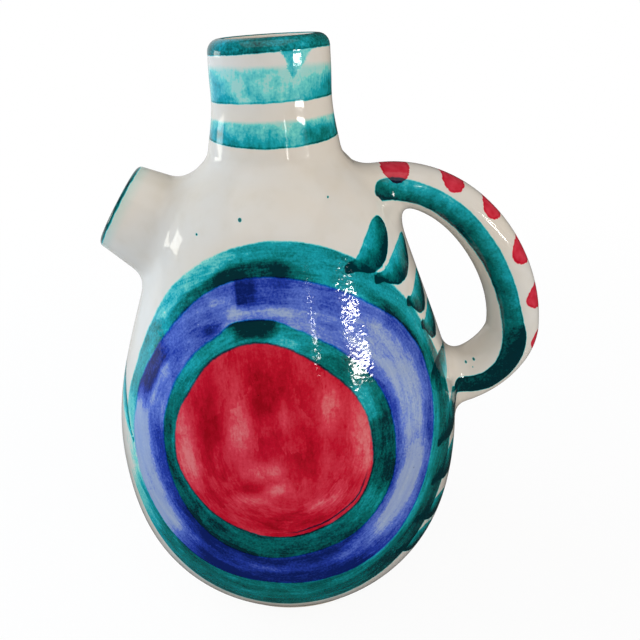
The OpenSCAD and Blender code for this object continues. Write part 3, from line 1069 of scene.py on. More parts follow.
# Touches in a ring: brush touches; in the blue ring also painted highlights and painted light on its
# left side; and, at about -95 degrees, thicker paint that makes each ring darker towards the bottom.
# Columns: thickness added, direction and spread in degrees, and where they start and end across the
# ring, from 0 at its inner edge to 1 at its outer edge
OUTER_TOUCHES = [
    (0.14, -95, 80, -1, 2),
    (-0.24, 122, 22, 0.4, 2),
    (-0.28, 190, 20, -1, 2),
    (-0.2, 200, 22, -1, 2),
    (-0.14, 208, 30, 0.3, 2),
    (0.2, 118, 16, -1, 0.4),
    (0.42, 98, 16, -1, 0.45),
    (0.14, 82, 10, -1, 0.3),
    (0.18, 38, 22, -1, 0.4),
    (0.26, 28, 30, -1, 0.08),
    (-0.3, -30, 55, -1, 0.02),
    (0.2, -25, 60, 0.3, 2),
]
BLUE_TOUCHES_AND_HIGHLIGHTS = [
    (-0.16, 110, 7, -1, 2),
    (-0.08, 124, 12, -1, 2),
    (0.14, 91, 9, 0.35, 2),
    (-0.22, 98, 22, 0.1, 0.3),
    (-0.16, 72, 24, -1, 0.6),
    (0.3, 116, 8, 0.1, 0.3),
    (0.42, 158, 19, 0.56, 2),
    # Painted light: the blue made lighter over its whole left side, where the light falls
    (-0.14, 190, 44, -1, 2),
    # Painted highlights: pale places on the left of the blue, in this row and the next three
    (-0.34, 157, 13, 0.35, 0.6),
    (-0.34, 178, 15, 0.5, 2),
    (-0.3, 201, 26, 0.45, 2),
    (-0.22, 222, 16, 0.6, 2),
    (0.28, 206, 42, -1, 0.3),
    (0.35, -93, 50, -1, 2),
    (-0.28, -85, 28, 0.3, 0.54),
    (-0.38, 4, 58, 0.18, 0.76),
    (-0.28, -45, 30, 0.15, 0.62),
]
INNER_TOUCHES = [
    (0.4, 100, 13, 0.25, 2),
    (-0.24, 86, 10, -1, 0.45),
    (-0.12, 135, 30, -1, 2),
    (-0.26, 24, 16, -1, 0.6),
    (-0.04, 55, 25, -1, 2),
    (0.16, -8, 30, -1, 2),
    (0.1, 42, 14, 0.3, 2),
    (0.16, -95, 60, -1, 2),
    (0.12, 205, 45, 0.2, 2),
    (0.1, 172, 34, -1, 2),
    (0.12, -95, 60, 0.75, 2),
]
# How softly a touch ends across the ring
TOUCH_SOFT = 0.14

# Usual thickness of paint in the rings and the disc
OUTER_PAINT = 0.6
BLUE_PAINT = 0.64
INNER_PAINT = 0.72
RED_PAINT = 0.68

# Thick patch at the top of the blue ring: its left and right edge across, its lower edge in the
# ring, and its thickness
PATCH_LEFT = (-13.2, -12.2)
PATCH_RIGHT = (-8.0, -4.4)
PATCH_LOW = (0.16, 0.48)
PATCH_PAINT = 0.3


def ring_paint(brush, place, work):
    """Thickness of green, blue and red in the disc and its rings."""
    dx = place.across - work.centre_x * MM
    dz = place.z - work.centre_z * MM
    rho = brush.math("SQRT", dx * dx + dz * dz)
    cos = dx / brush.most(rho, 0.001)
    sin = dz / brush.most(rho, 0.001)

    def gap(name, seed):
        """How far outside a ring's edge a place lies, with the edge wavering as a brush does."""
        waver = brush.noise(brush.vector(cos * 2.4, sin * 2.4, seed), 1.0, 3.0)
        return brush.kept(name + "_gap") - waver * 0.9

    def toward(degrees, spread, firm=0.45):
        """1 in one direction from the centre, falling to 0 at a spread to both sides."""
        side = math.radians(degrees)
        turned_to = cos * math.cos(side) + sin * math.sin(side)
        return turned_to.above(math.cos(math.radians(spread)), math.cos(math.radians(spread * firm)))

    def round_it(long, fine, seed):
        """Places stretched along the rings, for marks that run round them."""
        return brush.vector(cos * long + seed, sin * long, rho * fine)

    def touched(share, touches):
        """All the touches in one ring, with the painted highlights and painted light of the blue ring among
        them.
        """
        total = None
        for amount, degrees, spread, low, high in touches:
            touch = toward(degrees, spread) * amount
            if low > -1:
                touch = touch * share.above(low - TOUCH_SOFT, low + TOUCH_SOFT)
            if high < 2:
                touch = touch * share.below(high - TOUCH_SOFT, high + TOUCH_SOFT)
            total = touch if total is None else total + touch
        return total

    disc = gap("disc", 1.7)
    inner = gap("inner", 4.1) - toward(99, 19, 0.3) * 1.5
    blue = gap("blue", 7.3)
    outer = gap("outer", 9.9)

    ragged = brush.noise(place.vector, 1.8, 3.0, 0.6)
    lap = brush.noise(round_it(3.0, 0.05, 21.0), 1.0, 2.0)

    def between(low, high, soft=0.4):
        """1 outside one edge and inside another, with slightly ragged borders."""
        return (low + ragged * 0.3).above(-soft, soft) * (high + ragged * 0.3).below(-soft, soft)

    marks = brush.noise(round_it(2.6, 0.42, 3.0), 1.0, 4.0, 0.62)
    fine_marks = brush.noise(round_it(7.0, 1.7, 8.0), 1.0, 2.0)
    laps = brush.patches(round_it(2.8, 0.14, 5.0))
    grain = brush.noise(place.vector, 0.8, 2.0, 0.6)
    cloud = brush.noise(place.vector, 10.0, 4.0, 0.6)
    spot, chance = brush.cells(place.vector, 2.4)
    pinholes = spot.below(0.05, 0.11) * chance.above(0.7, 0.72)
    texture = marks * 0.26 + fine_marks * 0.11 + grain * 0.22 + cloud * 0.22 + laps * 0.07 - pinholes * 0.22

    share = blue / (blue - outer)
    blotch = brush.noise(place.vector, 4.0, 4.0, 0.65) * toward(124, 34) * 0.36
    green_out = touched(share, OUTER_TOUCHES) + texture + blotch + OUTER_PAINT
    green_out = green_out * between(blue + 0.35 - lap * 0.5, outer)

    share = inner / (inner - blue)
    patch = dx.above(*PATCH_LEFT) * dx.below(*PATCH_RIGHT) * dz.above(0.0, 1.0) * share.above(*PATCH_LOW)
    blue_paint = touched(share, BLUE_TOUCHES_AND_HIGHLIGHTS) + texture * 1.1 + patch * PATCH_PAINT + BLUE_PAINT
    blue_paint = brush.most(blue_paint, 0.24 + marks * 0.12 + grain * 0.05)
    blue_paint = blue_paint * between(inner + 0.3 - lap * 0.5, blue)

    share = disc / (disc - inner)
    green_in = touched(share, INNER_TOUCHES) + texture + INNER_PAINT
    green_in = green_in * between(disc + 0.2 - lap * 0.4, inner)

    upright = brush.vector(dx * 0.12, 5.0, dz * 0.06)
    strokes = brush.patches(upright) * 0.1 + brush.noise(upright, 1.0, 5.0, 0.6) * 0.34
    fibres = brush.noise(brush.vector(dx * 1.1, 3.0, dz * 0.36), 1.0, 3.0, 0.6) * 0.16
    sweep = brush.patches(round_it(3.2, 0.24, 15.0)) * 0.11
    sweep = sweep + brush.noise(round_it(3.4, 0.3, 18.0), 1.0, 5.0, 0.6) * 0.36
    fine_sweep = brush.noise(round_it(6.0, 1.5, 12.0), 1.0, 3.0, 0.6) * 0.22
    low = (rho + ragged * 2.0).above(15.0, 22.0) * (dz + cloud * 6.0).below(-6.0, 8.0)
    red = (strokes + fibres) * (1 - low) + (sweep + fine_sweep) * low
    red = red + grain * 0.12 + cloud * 0.1 + RED_PAINT
    red = red + brush.kept("disc_touch_and_highlight") * (1.2 + cloud * 0.8 + ragged * 0.6)
    red = brush.most(red, 0.22) * (disc + ragged * 0.35).below(-0.5, 0.5)
    seam = brush.math("ABSOLUTE", disc + 2.0 + ragged * 0.5 + lap * 0.5).below(0.1, 0.5)
    green_in = green_in + seam * toward(-56, 38) * 0.4
    return green_out + green_in, blue_paint, red


# Lowest point of the run of paint below the rim, and its place across the neck
RUN_TIP = 207.0
RUN_ACROSS = 7.2
# Blue that goes with the green on the spout's side of the neck
NECK_COOL = 0.05


def band_paint(brush, place, work):
    """Thickness of green in the bands round the neck."""
    x = place.x
    z = place.z
    waver = brush.noise(place.vector, 8.0, 3.0)
    ragged = brush.noise(place.vector, 1.1, 3.0, 0.7)
    blot = brush.noise(place.vector, 12.0, 4.0, 0.6)
    cloud = brush.noise(place.vector, 5.0, 4.0, 0.62)
    grain = brush.noise(place.vector, 0.8, 2.0, 0.6)
    runs = brush.noise(brush.vector(x * 0.9, place.y * 0.9, z * 0.3), 1.0, 3.0, 0.6)
    spot, chance = brush.cells(place.vector, 2.0)
    flecks = spot.below(0.1, 0.3) * chance.above(0.6, 0.9)
    sides = x.above(6.0, 17.0) * 0.26 + x.below(-19.0, -11.0) * 0.08
    mottle = blot * 0.5 + cloud * 0.3 + grain * 0.14 + runs * 0.16 + flecks * 0.06

    def band(top, low, thin, thick, soft):
        """One band: thin paint at its top, thick with a dark edge at its bottom."""
        depth = (top - z) / (top - low)
        paint = thin + (thick - thin) * depth.above(0.0, 0.9) + mottle + sides * depth.above(0.1, 0.6)
        edge = (z - low).below(0.1, 0.9) * (0.24 + waver * 0.14)
        shape = (z + blot * 1.2 - top).below(-soft, 0.4) * (z - low).above(-0.25, 0.2)
        return (brush.most(paint, 0.15) + edge) * shape

    stray = waver * 0.4 + ragged * 0.22
    rim_low = x * 0.045 + work.rim_low * MM + stray * 1.5
    rim_edge = (z - rim_low).above(-0.25, 0.25)
    rim = rim_edge * (mottle * 0.7 + grain * 0.24 + 0.7)
    rim = rim + rim_edge * (z - rim_low).below(0.3, 0.9) * (0.14 + waver * 0.2)
    high_top = work.band_high_top * MM + stray
    high_low = x * 0.02 + work.band_high_low * MM + stray
    high = band(high_top, high_low, 0.12, 0.34, 2.6)
    sag = x * x * 0.0022 - 0.5
    low_top = x * 0.01 + work.band_low_top * MM + stray
    low_low = sag + work.band_low_low * MM + stray
    low = band(low_top, low_low, 0.28, 0.48, 1.2)
    fall = z - RUN_TIP
    beside = brush.math("ABSOLUTE", x - fall * 0.16 - RUN_ACROSS)
    run = fall * 0.56 - beside + ragged * 1.2 + cloud * 2.2
    run = run.above(-0.6, 0.6) * place.front * (z - rim_low).below(0.0, 0.8)
    run = run * (mottle + 0.48 - (x - RUN_ACROSS).above(0.5, 4.5) * 0.2)
    return brush.most(rim + high + low, run)


def stroke_paint(brush, place):
    """Thickness of green in the leaves and the handle's long stroke."""
    ragged = brush.noise(place.vector, 2.2, 3.0) * 0.3
    cloud = brush.noise(place.vector, 4.0, 3.0, 0.6)
    grain = brush.noise(place.vector, 0.9, 2.0, 0.6)
    depth = brush.kept("green_depth") + ragged
    streak = brush.noise(place.vector, 9.0, 4.0, 0.65)
    paint = brush.kept("green_paint") + cloud * 0.22 + grain * 0.2 + streak * 0.2
    paint = paint + depth.below(0.3, 1.0) * 0.1
    painted = paint * depth.above(-0.3, 0.3)
    for across, height, radius in SPOTS:
        dx = place.x - across
        dz = place.z - height
        gap = brush.math("SQRT", dx * dx + dz * dz) + ragged * 0.4
        dot = gap.below(radius - 0.15, radius + 0.15) * place.front
        painted = brush.most(painted, dot * SPOT_PAINT)
    return painted


def dab_paint(brush, place):
    """Thickness of red in the dabs on the handle's edge."""
    ragged = brush.noise(place.vector, 2.0, 2.0) * 0.35
    cloud = brush.noise(place.vector, 3.0, 3.0)
    depth = brush.kept("red_depth") + ragged
    paint = 0.57 + cloud * 0.24 + depth.below(0.2, 0.9) * 0.14
    return paint * depth.above(-0.22, 0.22)


def spout_paint(brush, place, work):
    """Thickness of green in the line round the spout's rim and its pale wash."""
    ragged = brush.noise(place.vector, 3.0, 3.0)
    back = brush.kept("spout_back")
    line = (back + ragged * 0.5).below(work.spout_line * MM - 0.4, work.spout_line * MM + 0.3)
    halo = (back + ragged * 1.2).below(0.8, work.spout_halo * MM)
    return line * (0.86 + ragged * 0.3) + halo * (0.07 + ragged * 0.05)


# Pigments, and the thickness of paint at which each has its shades
PIGMENTS = ("green", "blue", "red")
SHADES = {"wash": 0.22, "light": 0.46, "full": 0.74, "deep": 1.0}

# Tint of the glaze's mottles, least roughness and what is added in places, refraction and usual shine
MOTTLE = (0.94, 0.92, 0.88)
SMOOTHEST = 0.055
ROUGHER = 0.05
REFRACTION = 1.48
SHINE = 0.5

# Relief in millimetres: size, detail and height of the noise in the glaze and in the paint's film on it
GLAZE_RELIEF = [(14.0, 2.0, 0.04), (3.4, 2.0, 0.006)]
FILM_RELIEF = [(2.6, 1.0, 0.02), (1.2, 0.0, 0.016)]
FILM_HEIGHT = 0.01


def relief_of(brush, place, rows):
    """The sum of two noises, each with its size, detail and height."""
    first, second = (brush.noise(place.vector, size, detail) * height for size, detail, height in rows)
    return first + second


def glaze_shader(brush, place, ornaments, dull=0.0):
    """Glossy white glaze over clay, with the pigments of some ornaments melted into it.

    Each ornament is a function that takes the brush and the place, and gives green, blue and red.
    The strokes lack a share of the shine, as dull says."""
    colours = bpy.context.scene.carafe_colours
    outside = brush.kept("outside").above(0.4, 0.6)
    totals = [None, None, None]
    for ornament in ornaments:
        for k, paint in enumerate(ornament(brush, place)):
            if paint is not None:
                totals[k] = paint if totals[k] is None else totals[k] + paint

    white = linear(colours.glaze)
    drift = brush.noise(place.vector, 45.0, 3.0).above(-0.5, 0.6)
    colour = brush.blend("MIX", drift, tuple(white), tuple(linear(colours.glaze_cool)))
    mottle = brush.noise(place.vector, 6.0, 4.0)
    colour = brush.blend("MULTIPLY", mottle.above(-0.2, 0.9) * 0.75, colour, MOTTLE)
    spot, chance = brush.cells(place.vector, 9.0)
    speck = (spot + brush.noise(place.vector, 0.7) * 0.02).below(0.03, 0.055) * chance.above(0.8, 0.82)
    colour = brush.blend("MIX", speck * 0.7, colour, tuple(linear(colours.speck)))
    for total, pigment in zip(totals, PIGMENTS):
        if total is None:
            continue
        stops = [(0.0, (1, 1, 1))]
        for shade, step in SHADES.items():
            painted = linear(getattr(colours, f"{pigment}_{shade}"))
            stops.append((step, tuple(np.clip(painted / white, 0, 1))))
        colour = brush.blend("MULTIPLY", 1.0, colour, brush.ramp(total * outside, stops))

    roughness = SMOOTHEST + brush.noise(place.vector, 8.0, 2.0).above(-0.4, 0.8) * ROUGHER
    film = brush.kept("film") * (relief_of(brush, place, FILM_RELIEF) + FILM_HEIGHT)
    shader = brush.surface(colour, roughness, relief_of(brush, place, GLAZE_RELIEF) + film)
    shader.inputs["IOR"].default_value = REFRACTION
    if dull:
        matt = brush.kept("green_depth").above(-0.3, 0.3) * outside * dull
        brush.plug(shader.inputs["Specular IOR Level"], (1 - matt) * SHINE)
    return shader.outputs[0]


def glaze(name, ornaments, dull=0.0):
    """A material of glaze alone."""
    brush = Brush(bpy.data.materials.new(name))
    return brush.finish(glaze_shader(brush, Place(brush), ornaments, dull))


def body_ornament(brush, place):
    """Rings, neck bands and strokes of the body."""
    work = bpy.context.scene.carafe_brushwork
    green, blue, red = ring_paint(brush, place, work)
    strokes = stroke_paint(brush, place)
    lapped = brush.math("MINIMUM", green, strokes) * 0.2
    return brush.most(green, strokes) + lapped, blue, red


def neck_ornament(brush, place):
    """Bands of the neck."""
    green = band_paint(brush, place, bpy.context.scene.carafe_brushwork)
    return green, green * place.x.below(-20.0, -4.0) * NECK_COOL, None


def handle_ornament(brush, place):
    """Long stroke and dabs of the handle."""
    return stroke_paint(brush, place), None, dab_paint(brush, place)


def spout_ornament(brush, place):
    """Line round the spout's rim."""
    return spout_paint(brush, place, bpy.context.scene.carafe_brushwork), None, None


def coil_ornament(brush, place):
    """Strokes that run on over the joint coils."""
    return stroke_paint(brush, place), None, None


# Bare clay: its darkest places as a share of its colour, its roughness and the height of its grain
CLAY_DARK = 0.72
CLAY_ROUGH = 0.82
CLAY_GRAIN = 0.06


def foot_finish():
    """Bare clay under the foot, with the body's glaze and rings down to its edge."""
    tone = linear(bpy.context.scene.carafe_colours.clay)
    brush = Brush(bpy.data.materials.new("foot_clay"))
    place = Place(brush)
    glazed = glaze_shader(brush, place, [body_ornament])
    grain = brush.noise(place.vector, 1.2, 4.0, 0.7)
    smear = brush.noise(place.vector, 9.0, 3.0)
    stops = [(0.0, tuple(tone * CLAY_DARK)), (1.0, tuple(tone))]
    colour = brush.ramp(grain * 0.3 + smear * 0.3 + 0.6, stops)
    clay = brush.surface(colour, CLAY_ROUGH + grain * 0.08, grain * CLAY_GRAIN)
    edge = (place.z + smear * 0.4).above(0.9, 1.3)
    return brush.finish(brush.mixed(edge, clay.outputs[0], glazed))


# Operators


class CARAFE_OT_foot(bpy.types.Operator):
    """Turn the base slab with its foot ring and shallow recess"""

    bl_idname = "carafe.foot"
    bl_label = "Foot"

    def execute(self, context):
        shape = context.scene.carafe_vessel
        outline = Outline(shape)
        ease = shape.foot_edge / 3
        under = np.array([[TINY, shape.recess_d], [shape.recess_r - shape.recess_d - ease, shape.recess_d]])
        step = arc([shape.recess_r + ease, ease], ease, 225, 270)
        edge = arc([shape.foot_r - shape.foot_edge, shape.foot_edge], shape.foot_edge, -90, 0)
        side = evenly(outline.part(shape.foot_edge, SLAB_TOP), OUTER_STEP)
        top = np.array([[TINY, SLAB_TOP]])
        line = np.vstack([under, step, edge, side[1:], top])
        points = turned(line)
        faces = loop_faces(len(line), TURN_SIDES, closed=True)
        mesh = mesh_of("foot", points, faces)
        finished("foot", mesh, foot_finish(), "base", wall_facing(points, outline))
        return {"FINISHED"}


class CARAFE_OT_body(bpy.types.Operator):
    """Throw the wall of belly and shoulder and cut the hole that leads to the spout"""

    bl_idname = "carafe.body"
    bl_label = "Body wall"

    def execute(self, context):
        scene = context.scene
        shape = scene.carafe_vessel
        outline = Outline(shape)
        spout = SpoutLimb(shape, scene.carafe_spout, outline)
        outer = evenly(outline.part(SLAB_TOP, NECK_ROOT), OUTER_STEP)
        inner = outline.inner(SLAB_TOP, NECK_ROOT, shape.wall)
        inner = evenly(inner[inner[:, 1] > SLAB_TOP + BURY][::-1], INNER_STEP)
        foot = np.array([[inner[-1, 0] - BURY, SLAB_TOP]])
        line = np.vstack([outer, inner, foot])
        wall = mesh_of("body", turned(line), loop_faces(len(line), TURN_SIDES, closed=True))

        angles = (np.arange(COIL_SIDES) + 0.5) * 2 * math.pi / COIL_SIDES
        bore_r = scene.carafe_spout.bore_r
        depths = (spout.inner_place + 2 * shape.wall, 0)
        ends = [spout.bore(np.full_like(angles, depth), angles) for depth in depths]
        sides = loop_faces(2, COIL_SIDES, closed=False)
        caps = [tuple(range(COIL_SIDES))[::-1], tuple(range(COIL_SIDES, 2 * COIL_SIDES))]
        drill = mesh_of("drill", np.vstack(ends), sides + caps)
        mesh = with_hole(wall, drill)
        points = points_of(mesh)
        off_axis = spout.off_axis(points)
        if off_axis[points[:, 0] < 0].min() < bore_r - COIL_BITE:
            raise RuntimeError("the hole for the spout wasn't cut")
        outside = (outline.outside(points) > -shape.wall / 4).astype(float)
        material = glaze("painted_glaze", [body_ornament], LEAF_DULL)
        facing = np.where((off_axis > bore_r + TINY)[:, None], wall_facing(points, outline), 0.0)
        finished("body", mesh, material, "body_wall", facing, outside)
        return {"FINISHED"}


class CARAFE_OT_neck(bpy.types.Operator):
    """Throw the neck with its rounded lip"""

    bl_idname = "carafe.neck"
    bl_label = "Neck"

    def execute(self, context):
        shape = context.scene.carafe_vessel
        outline = Outline(shape)
        lip_out = min(shape.lip_round, shape.neck_r - shape.mouth_r - shape.lip_ease)
        lip_foot = [shape.neck_r, LIP_TOP - lip_out]
        side = np.vstack([outline.part(NECK_ROOT, outline.waist_h), lip_foot])
        lip = np.vstack([
            arc([shape.neck_r - lip_out, LIP_TOP - lip_out], lip_out, 0, 90),
            arc([shape.mouth_r + shape.lip_ease, LIP_TOP - shape.lip_ease], shape.lip_ease, 90, 180),
        ])
        bore = np.array([
            [shape.mouth_r, LIP_TOP - shape.lip_ease],
            [shape.mouth_r, NECK_ROOT + shape.flare_h],
            [shape.neck_root_r - shape.wall, NECK_ROOT],
        ])
        rows = [evenly(side, OUTER_STEP), lip[1:], evenly(bore, INNER_STEP)[1:]]
        line = np.vstack(rows)
        points = turned(line)
        mesh = mesh_of("neck", points, loop_faces(len(line), TURN_SIDES, closed=True))
        outside = np.hypot(points[:, 0], points[:, 1]) > shape.mouth_r + shape.lip_ease / 3
        material = glaze("neck_glaze", [neck_ornament])
        facing = wall_facing(points, outline)
        finished("neck", mesh, material, "neck", facing, outside.astype(float))
        return {"FINISHED"}


class CARAFE_OT_spout(bpy.types.Operator):
    """Make the short tube of the spout, trimmed to the shoulder"""

    bl_idname = "carafe.spout"
    bl_label = "Spout"

    def execute(self, context):
        scene = context.scene
        sizes = scene.carafe_spout
        outline = Outline(scene.carafe_vessel)
        limb = SpoutLimb(scene.carafe_vessel, sizes, outline)
        angles = -np.linspace(0, 2 * math.pi, COIL_SIDES, endpoint=False)
        skin_end = meeting(limb.point, angles, limb.inner_place, limb.outer_place, outline)
        bore_end = meeting(limb.bore, angles, limb.inner_place, limb.outer_place, outline)
        ease = sizes.rounding / 2
        quarter = np.radians(np.linspace(0, 90, EDGE_STEPS))
        rows = []
        for share in np.linspace(1, 0, SPOUT_BORE_ROWS):
            rows.append((share * bore_end + (1 - share) * ease, sizes.bore_r))
        for angle in quarter[1:]:
            rows.append((ease * (1 - math.sin(angle)), sizes.bore_r + ease * (1 - math.cos(angle))))
        for angle in quarter[::-1]:
            radius = sizes.mouth_r - sizes.rounding * (1 - (1 + sizes.taper) * math.cos(angle))
            rows.append((sizes.rounding * (1 - math.sin(angle)), radius))
        for share in np.linspace(0, 1, SPOUT_SKIN_ROWS)[1:]:
            place = sizes.rounding + share * (skin_end + BURY - sizes.rounding)
            rows.append((place, sizes.mouth_r + sizes.taper * place))
        points = np.vstack([limb.at(place + 0 * angles, radius, angles) for place, radius in rows])
        faces = loop_faces(len(rows), COIL_SIDES, closed=True)
        mesh = mesh_of("spout", points, faces)
        outside = limb.off_axis(points) > sizes.bore_r + TINY
        material = glaze("spout_glaze", [spout_ornament])
        finished("spout", mesh, material, "spout", None, outside.astype(float))
        return {"FINISHED"}


class CARAFE_OT_handle(bpy.types.Operator):
    """Pull the handle and trim it to the body at both roots"""

    bl_idname = "carafe.handle"
    bl_label = "Handle"

    def execute(self, context):
        scene = context.scene
        outline = Outline(scene.carafe_vessel)
        limb = HandleLimb(scene.carafe_vessel, scene.carafe_handle, outline)
        angles = -np.linspace(0, 2 * math.pi, LIMB_SIDES, endpoint=False)
        top = meeting(limb.point, angles, 0.0, HANDLE_CLEAR_TOP, outline)
        low = meeting(limb.point, angles, 2.0, HANDLE_CLEAR_LOW, outline)
        top = along_limb(limb, angles, top, np.zeros_like(top), BURY)
        low = along_limb(limb, angles, low, np.full_like(low, 2.0), BURY)
        shares = np.linspace(0, 1, HANDLE_ROWS)
        rows = [limb.point(top + share * (low - top), angles) for share in shares]
        points = np.vstack(rows)
        faces = loop_faces(HANDLE_ROWS, LIMB_SIDES, closed=False)
        for first, turn_round in ((0, True), (LIMB_SIDES * (HANDLE_ROWS - 1), False)):
            middle = points[first:first + LIMB_SIDES].mean(axis=0)
            points = np.vstack([points, outline.onto(middle[None], -BURY)])
            for j in range(LIMB_SIDES):
                pair = (first + j, first + (j + 1) % LIMB_SIDES)
                faces.append((*(pair[::-1] if turn_round else pair), len(points) - 1))
        mesh = mesh_of("handle", points, faces)
        material = glaze("handle_glaze", [handle_ornament])
        finished("handle", mesh, material, "handle")
        return {"FINISHED"}


def coil(name, limb, inner, outer, rise, width, fuller, material, node):
    """A clay coil smoothed into the corner between a limb and the body, tangent to both.

    Fuller is how much larger it is on the limb's inner side."""
    outline = Outline(bpy.context.scene.carafe_vessel)
    way = -1.0 if outer > inner else 1.0
    angles = way * np.linspace(0, 2 * math.pi, COIL_SIDES, endpoint=False)
    foot = meeting(limb.point, angles, inner, outer, outline)
    growth = 1 + fuller * (1 - np.cos(angles)) / 2
    top = along_limb(limb, angles, foot, np.full_like(foot, outer), rise * growth)
    corner = limb.point(foot, angles)
    away = limb.face(foot, angles)
    high = limb.point(top, angles)
    low = outline.onto(corner + width * growth[:, None] * away)
    back = along_limb(limb, angles, top, np.full_like(foot, inner), TINY)
    down = unit(limb.point(back, angles) - high)
    wall = outline.normals(low)
    inward = corner - low
    inward = unit(inward - wall * np.sum(inward * wall, axis=-1, keepdims=True))
    reach_high = np.linalg.norm(corner - high, axis=-1, keepdims=True)
    reach_low = np.linalg.norm(corner - low, axis=-1, keepdims=True)
    pulls = [high + COIL_PULL * reach_high * down, low + COIL_PULL * reach_low * inward]
    curve = [high, *pulls, low]
    t = np.linspace(0, 1, COIL_STEPS)
    skin = [bezier(curve, np.full(COIL_SIDES, s)) for s in t]
    slope = [bezier_pull(curve, np.full(COIL_SIDES, s)) for s in t]
    rows = skin + [
        outline.onto(low, -COIL_BITE),
        outline.onto(corner - COIL_BITE * away, -COIL_BITE),
        high - COIL_BITE * limb.face(top, angles),
    ]
    facing = []
    for row, fall in zip(skin, slope):
        round_it = np.roll(row, -1, axis=0) - np.roll(row, 1, axis=0)
        facing.append(unit(np.cross(fall, round_it)) * way)
    hidden = np.zeros(((len(rows) - len(skin)) * COIL_SIDES, 3))
    facing = np.vstack([np.vstack(facing), hidden])
    points = np.vstack(rows)
    outward = np.sum(facing[:len(away)] * away, axis=-1).mean()
    faces = loop_faces(len(rows), COIL_SIDES, closed=True)
    mesh = mesh_of(name, points, [face[::-1] for face in faces])
    finished(name, mesh, material, node, facing * np.sign(outward))


class CARAFE_OT_coils(bpy.types.Operator):
    """Smooth the joint coils round the spout and both roots of the handle"""

    bl_idname = "carafe.coils"
    bl_label = "Joint coils"

    def execute(self, context):
        scene = context.scene
        shape = scene.carafe_vessel
        outline = Outline(shape)
        spout = SpoutLimb(shape, scene.carafe_spout, outline)
        handle = HandleLimb(shape, scene.carafe_handle, outline)
        material = glaze("coil_glaze", [coil_ornament])
        sizes = scene.carafe_spout
        coil(
            "spout_coil", spout, spout.inner_place, spout.outer_place,
            sizes.coil_h, sizes.coil_w, 0.0, material, "spout_joint_coil",
        )
        sizes = scene.carafe_handle
        for name, inner, outer in (
            ("handle_top_coil", 0.0, HANDLE_CLEAR_TOP),
            ("handle_low_coil", 2.0, HANDLE_CLEAR_LOW),
        ):
            coil(
                name + "_clay", handle, inner, outer,
                sizes.coil_h, sizes.coil_w, sizes.coil_full, material, name,
            )
        return {"FINISHED"}


# Height that the lamps are aimed at
LAMP_AIM = 0.13
# Lamps: name, azimuth, elevation, distance, width, height, brightness, colour and whether the
# glaze mirrors it
LAMPS = [
    ("pane_high", 51.6, 10.6, 1.2, 0.3, 0.02, 60.0, (1.0, 0.97, 0.92), True),
    ("pane_low", 51.8, 5.1, 1.2, 0.34, 0.042, 46.0, (1.0, 0.97, 0.92), True),
    ("window_left", -106, 14, 1.2, 1.4, 1.2, 3.0, (0.58, 0.78, 1.0), False),
    ("pane_left", -111, 10, 1.2, 0.42, 0.24, 4.0, (1.0, 0.97, 0.86), True),
    ("softbox_top", -10, 75, 1.3, 1.6, 1.4, 0.7, (1.0, 0.98, 0.95), True),
    ("strip_front", 21, 13, 1.3, 0.026, 0.09, 28.0, (1.0, 0.98, 0.96), True),
]

# Where a white background shows in the glaze, behind the carafe and on the spout's side: on the
# floor in metres, and in the sky as parts of a direction
FLOOR_BEHIND = (0.0, 0.3)
FLOOR_ASIDE = (-0.06, 0.02)
SKY_BEHIND = (0.3, 0.95)
SKY_ASIDE = (-0.15, 0.02)

# Distances from the carafe between which the floor turns to plain white
FLOOR_FADE = (0.12, 0.7)

# Nearest thing that the camera sees
CLIP_START = 0.01


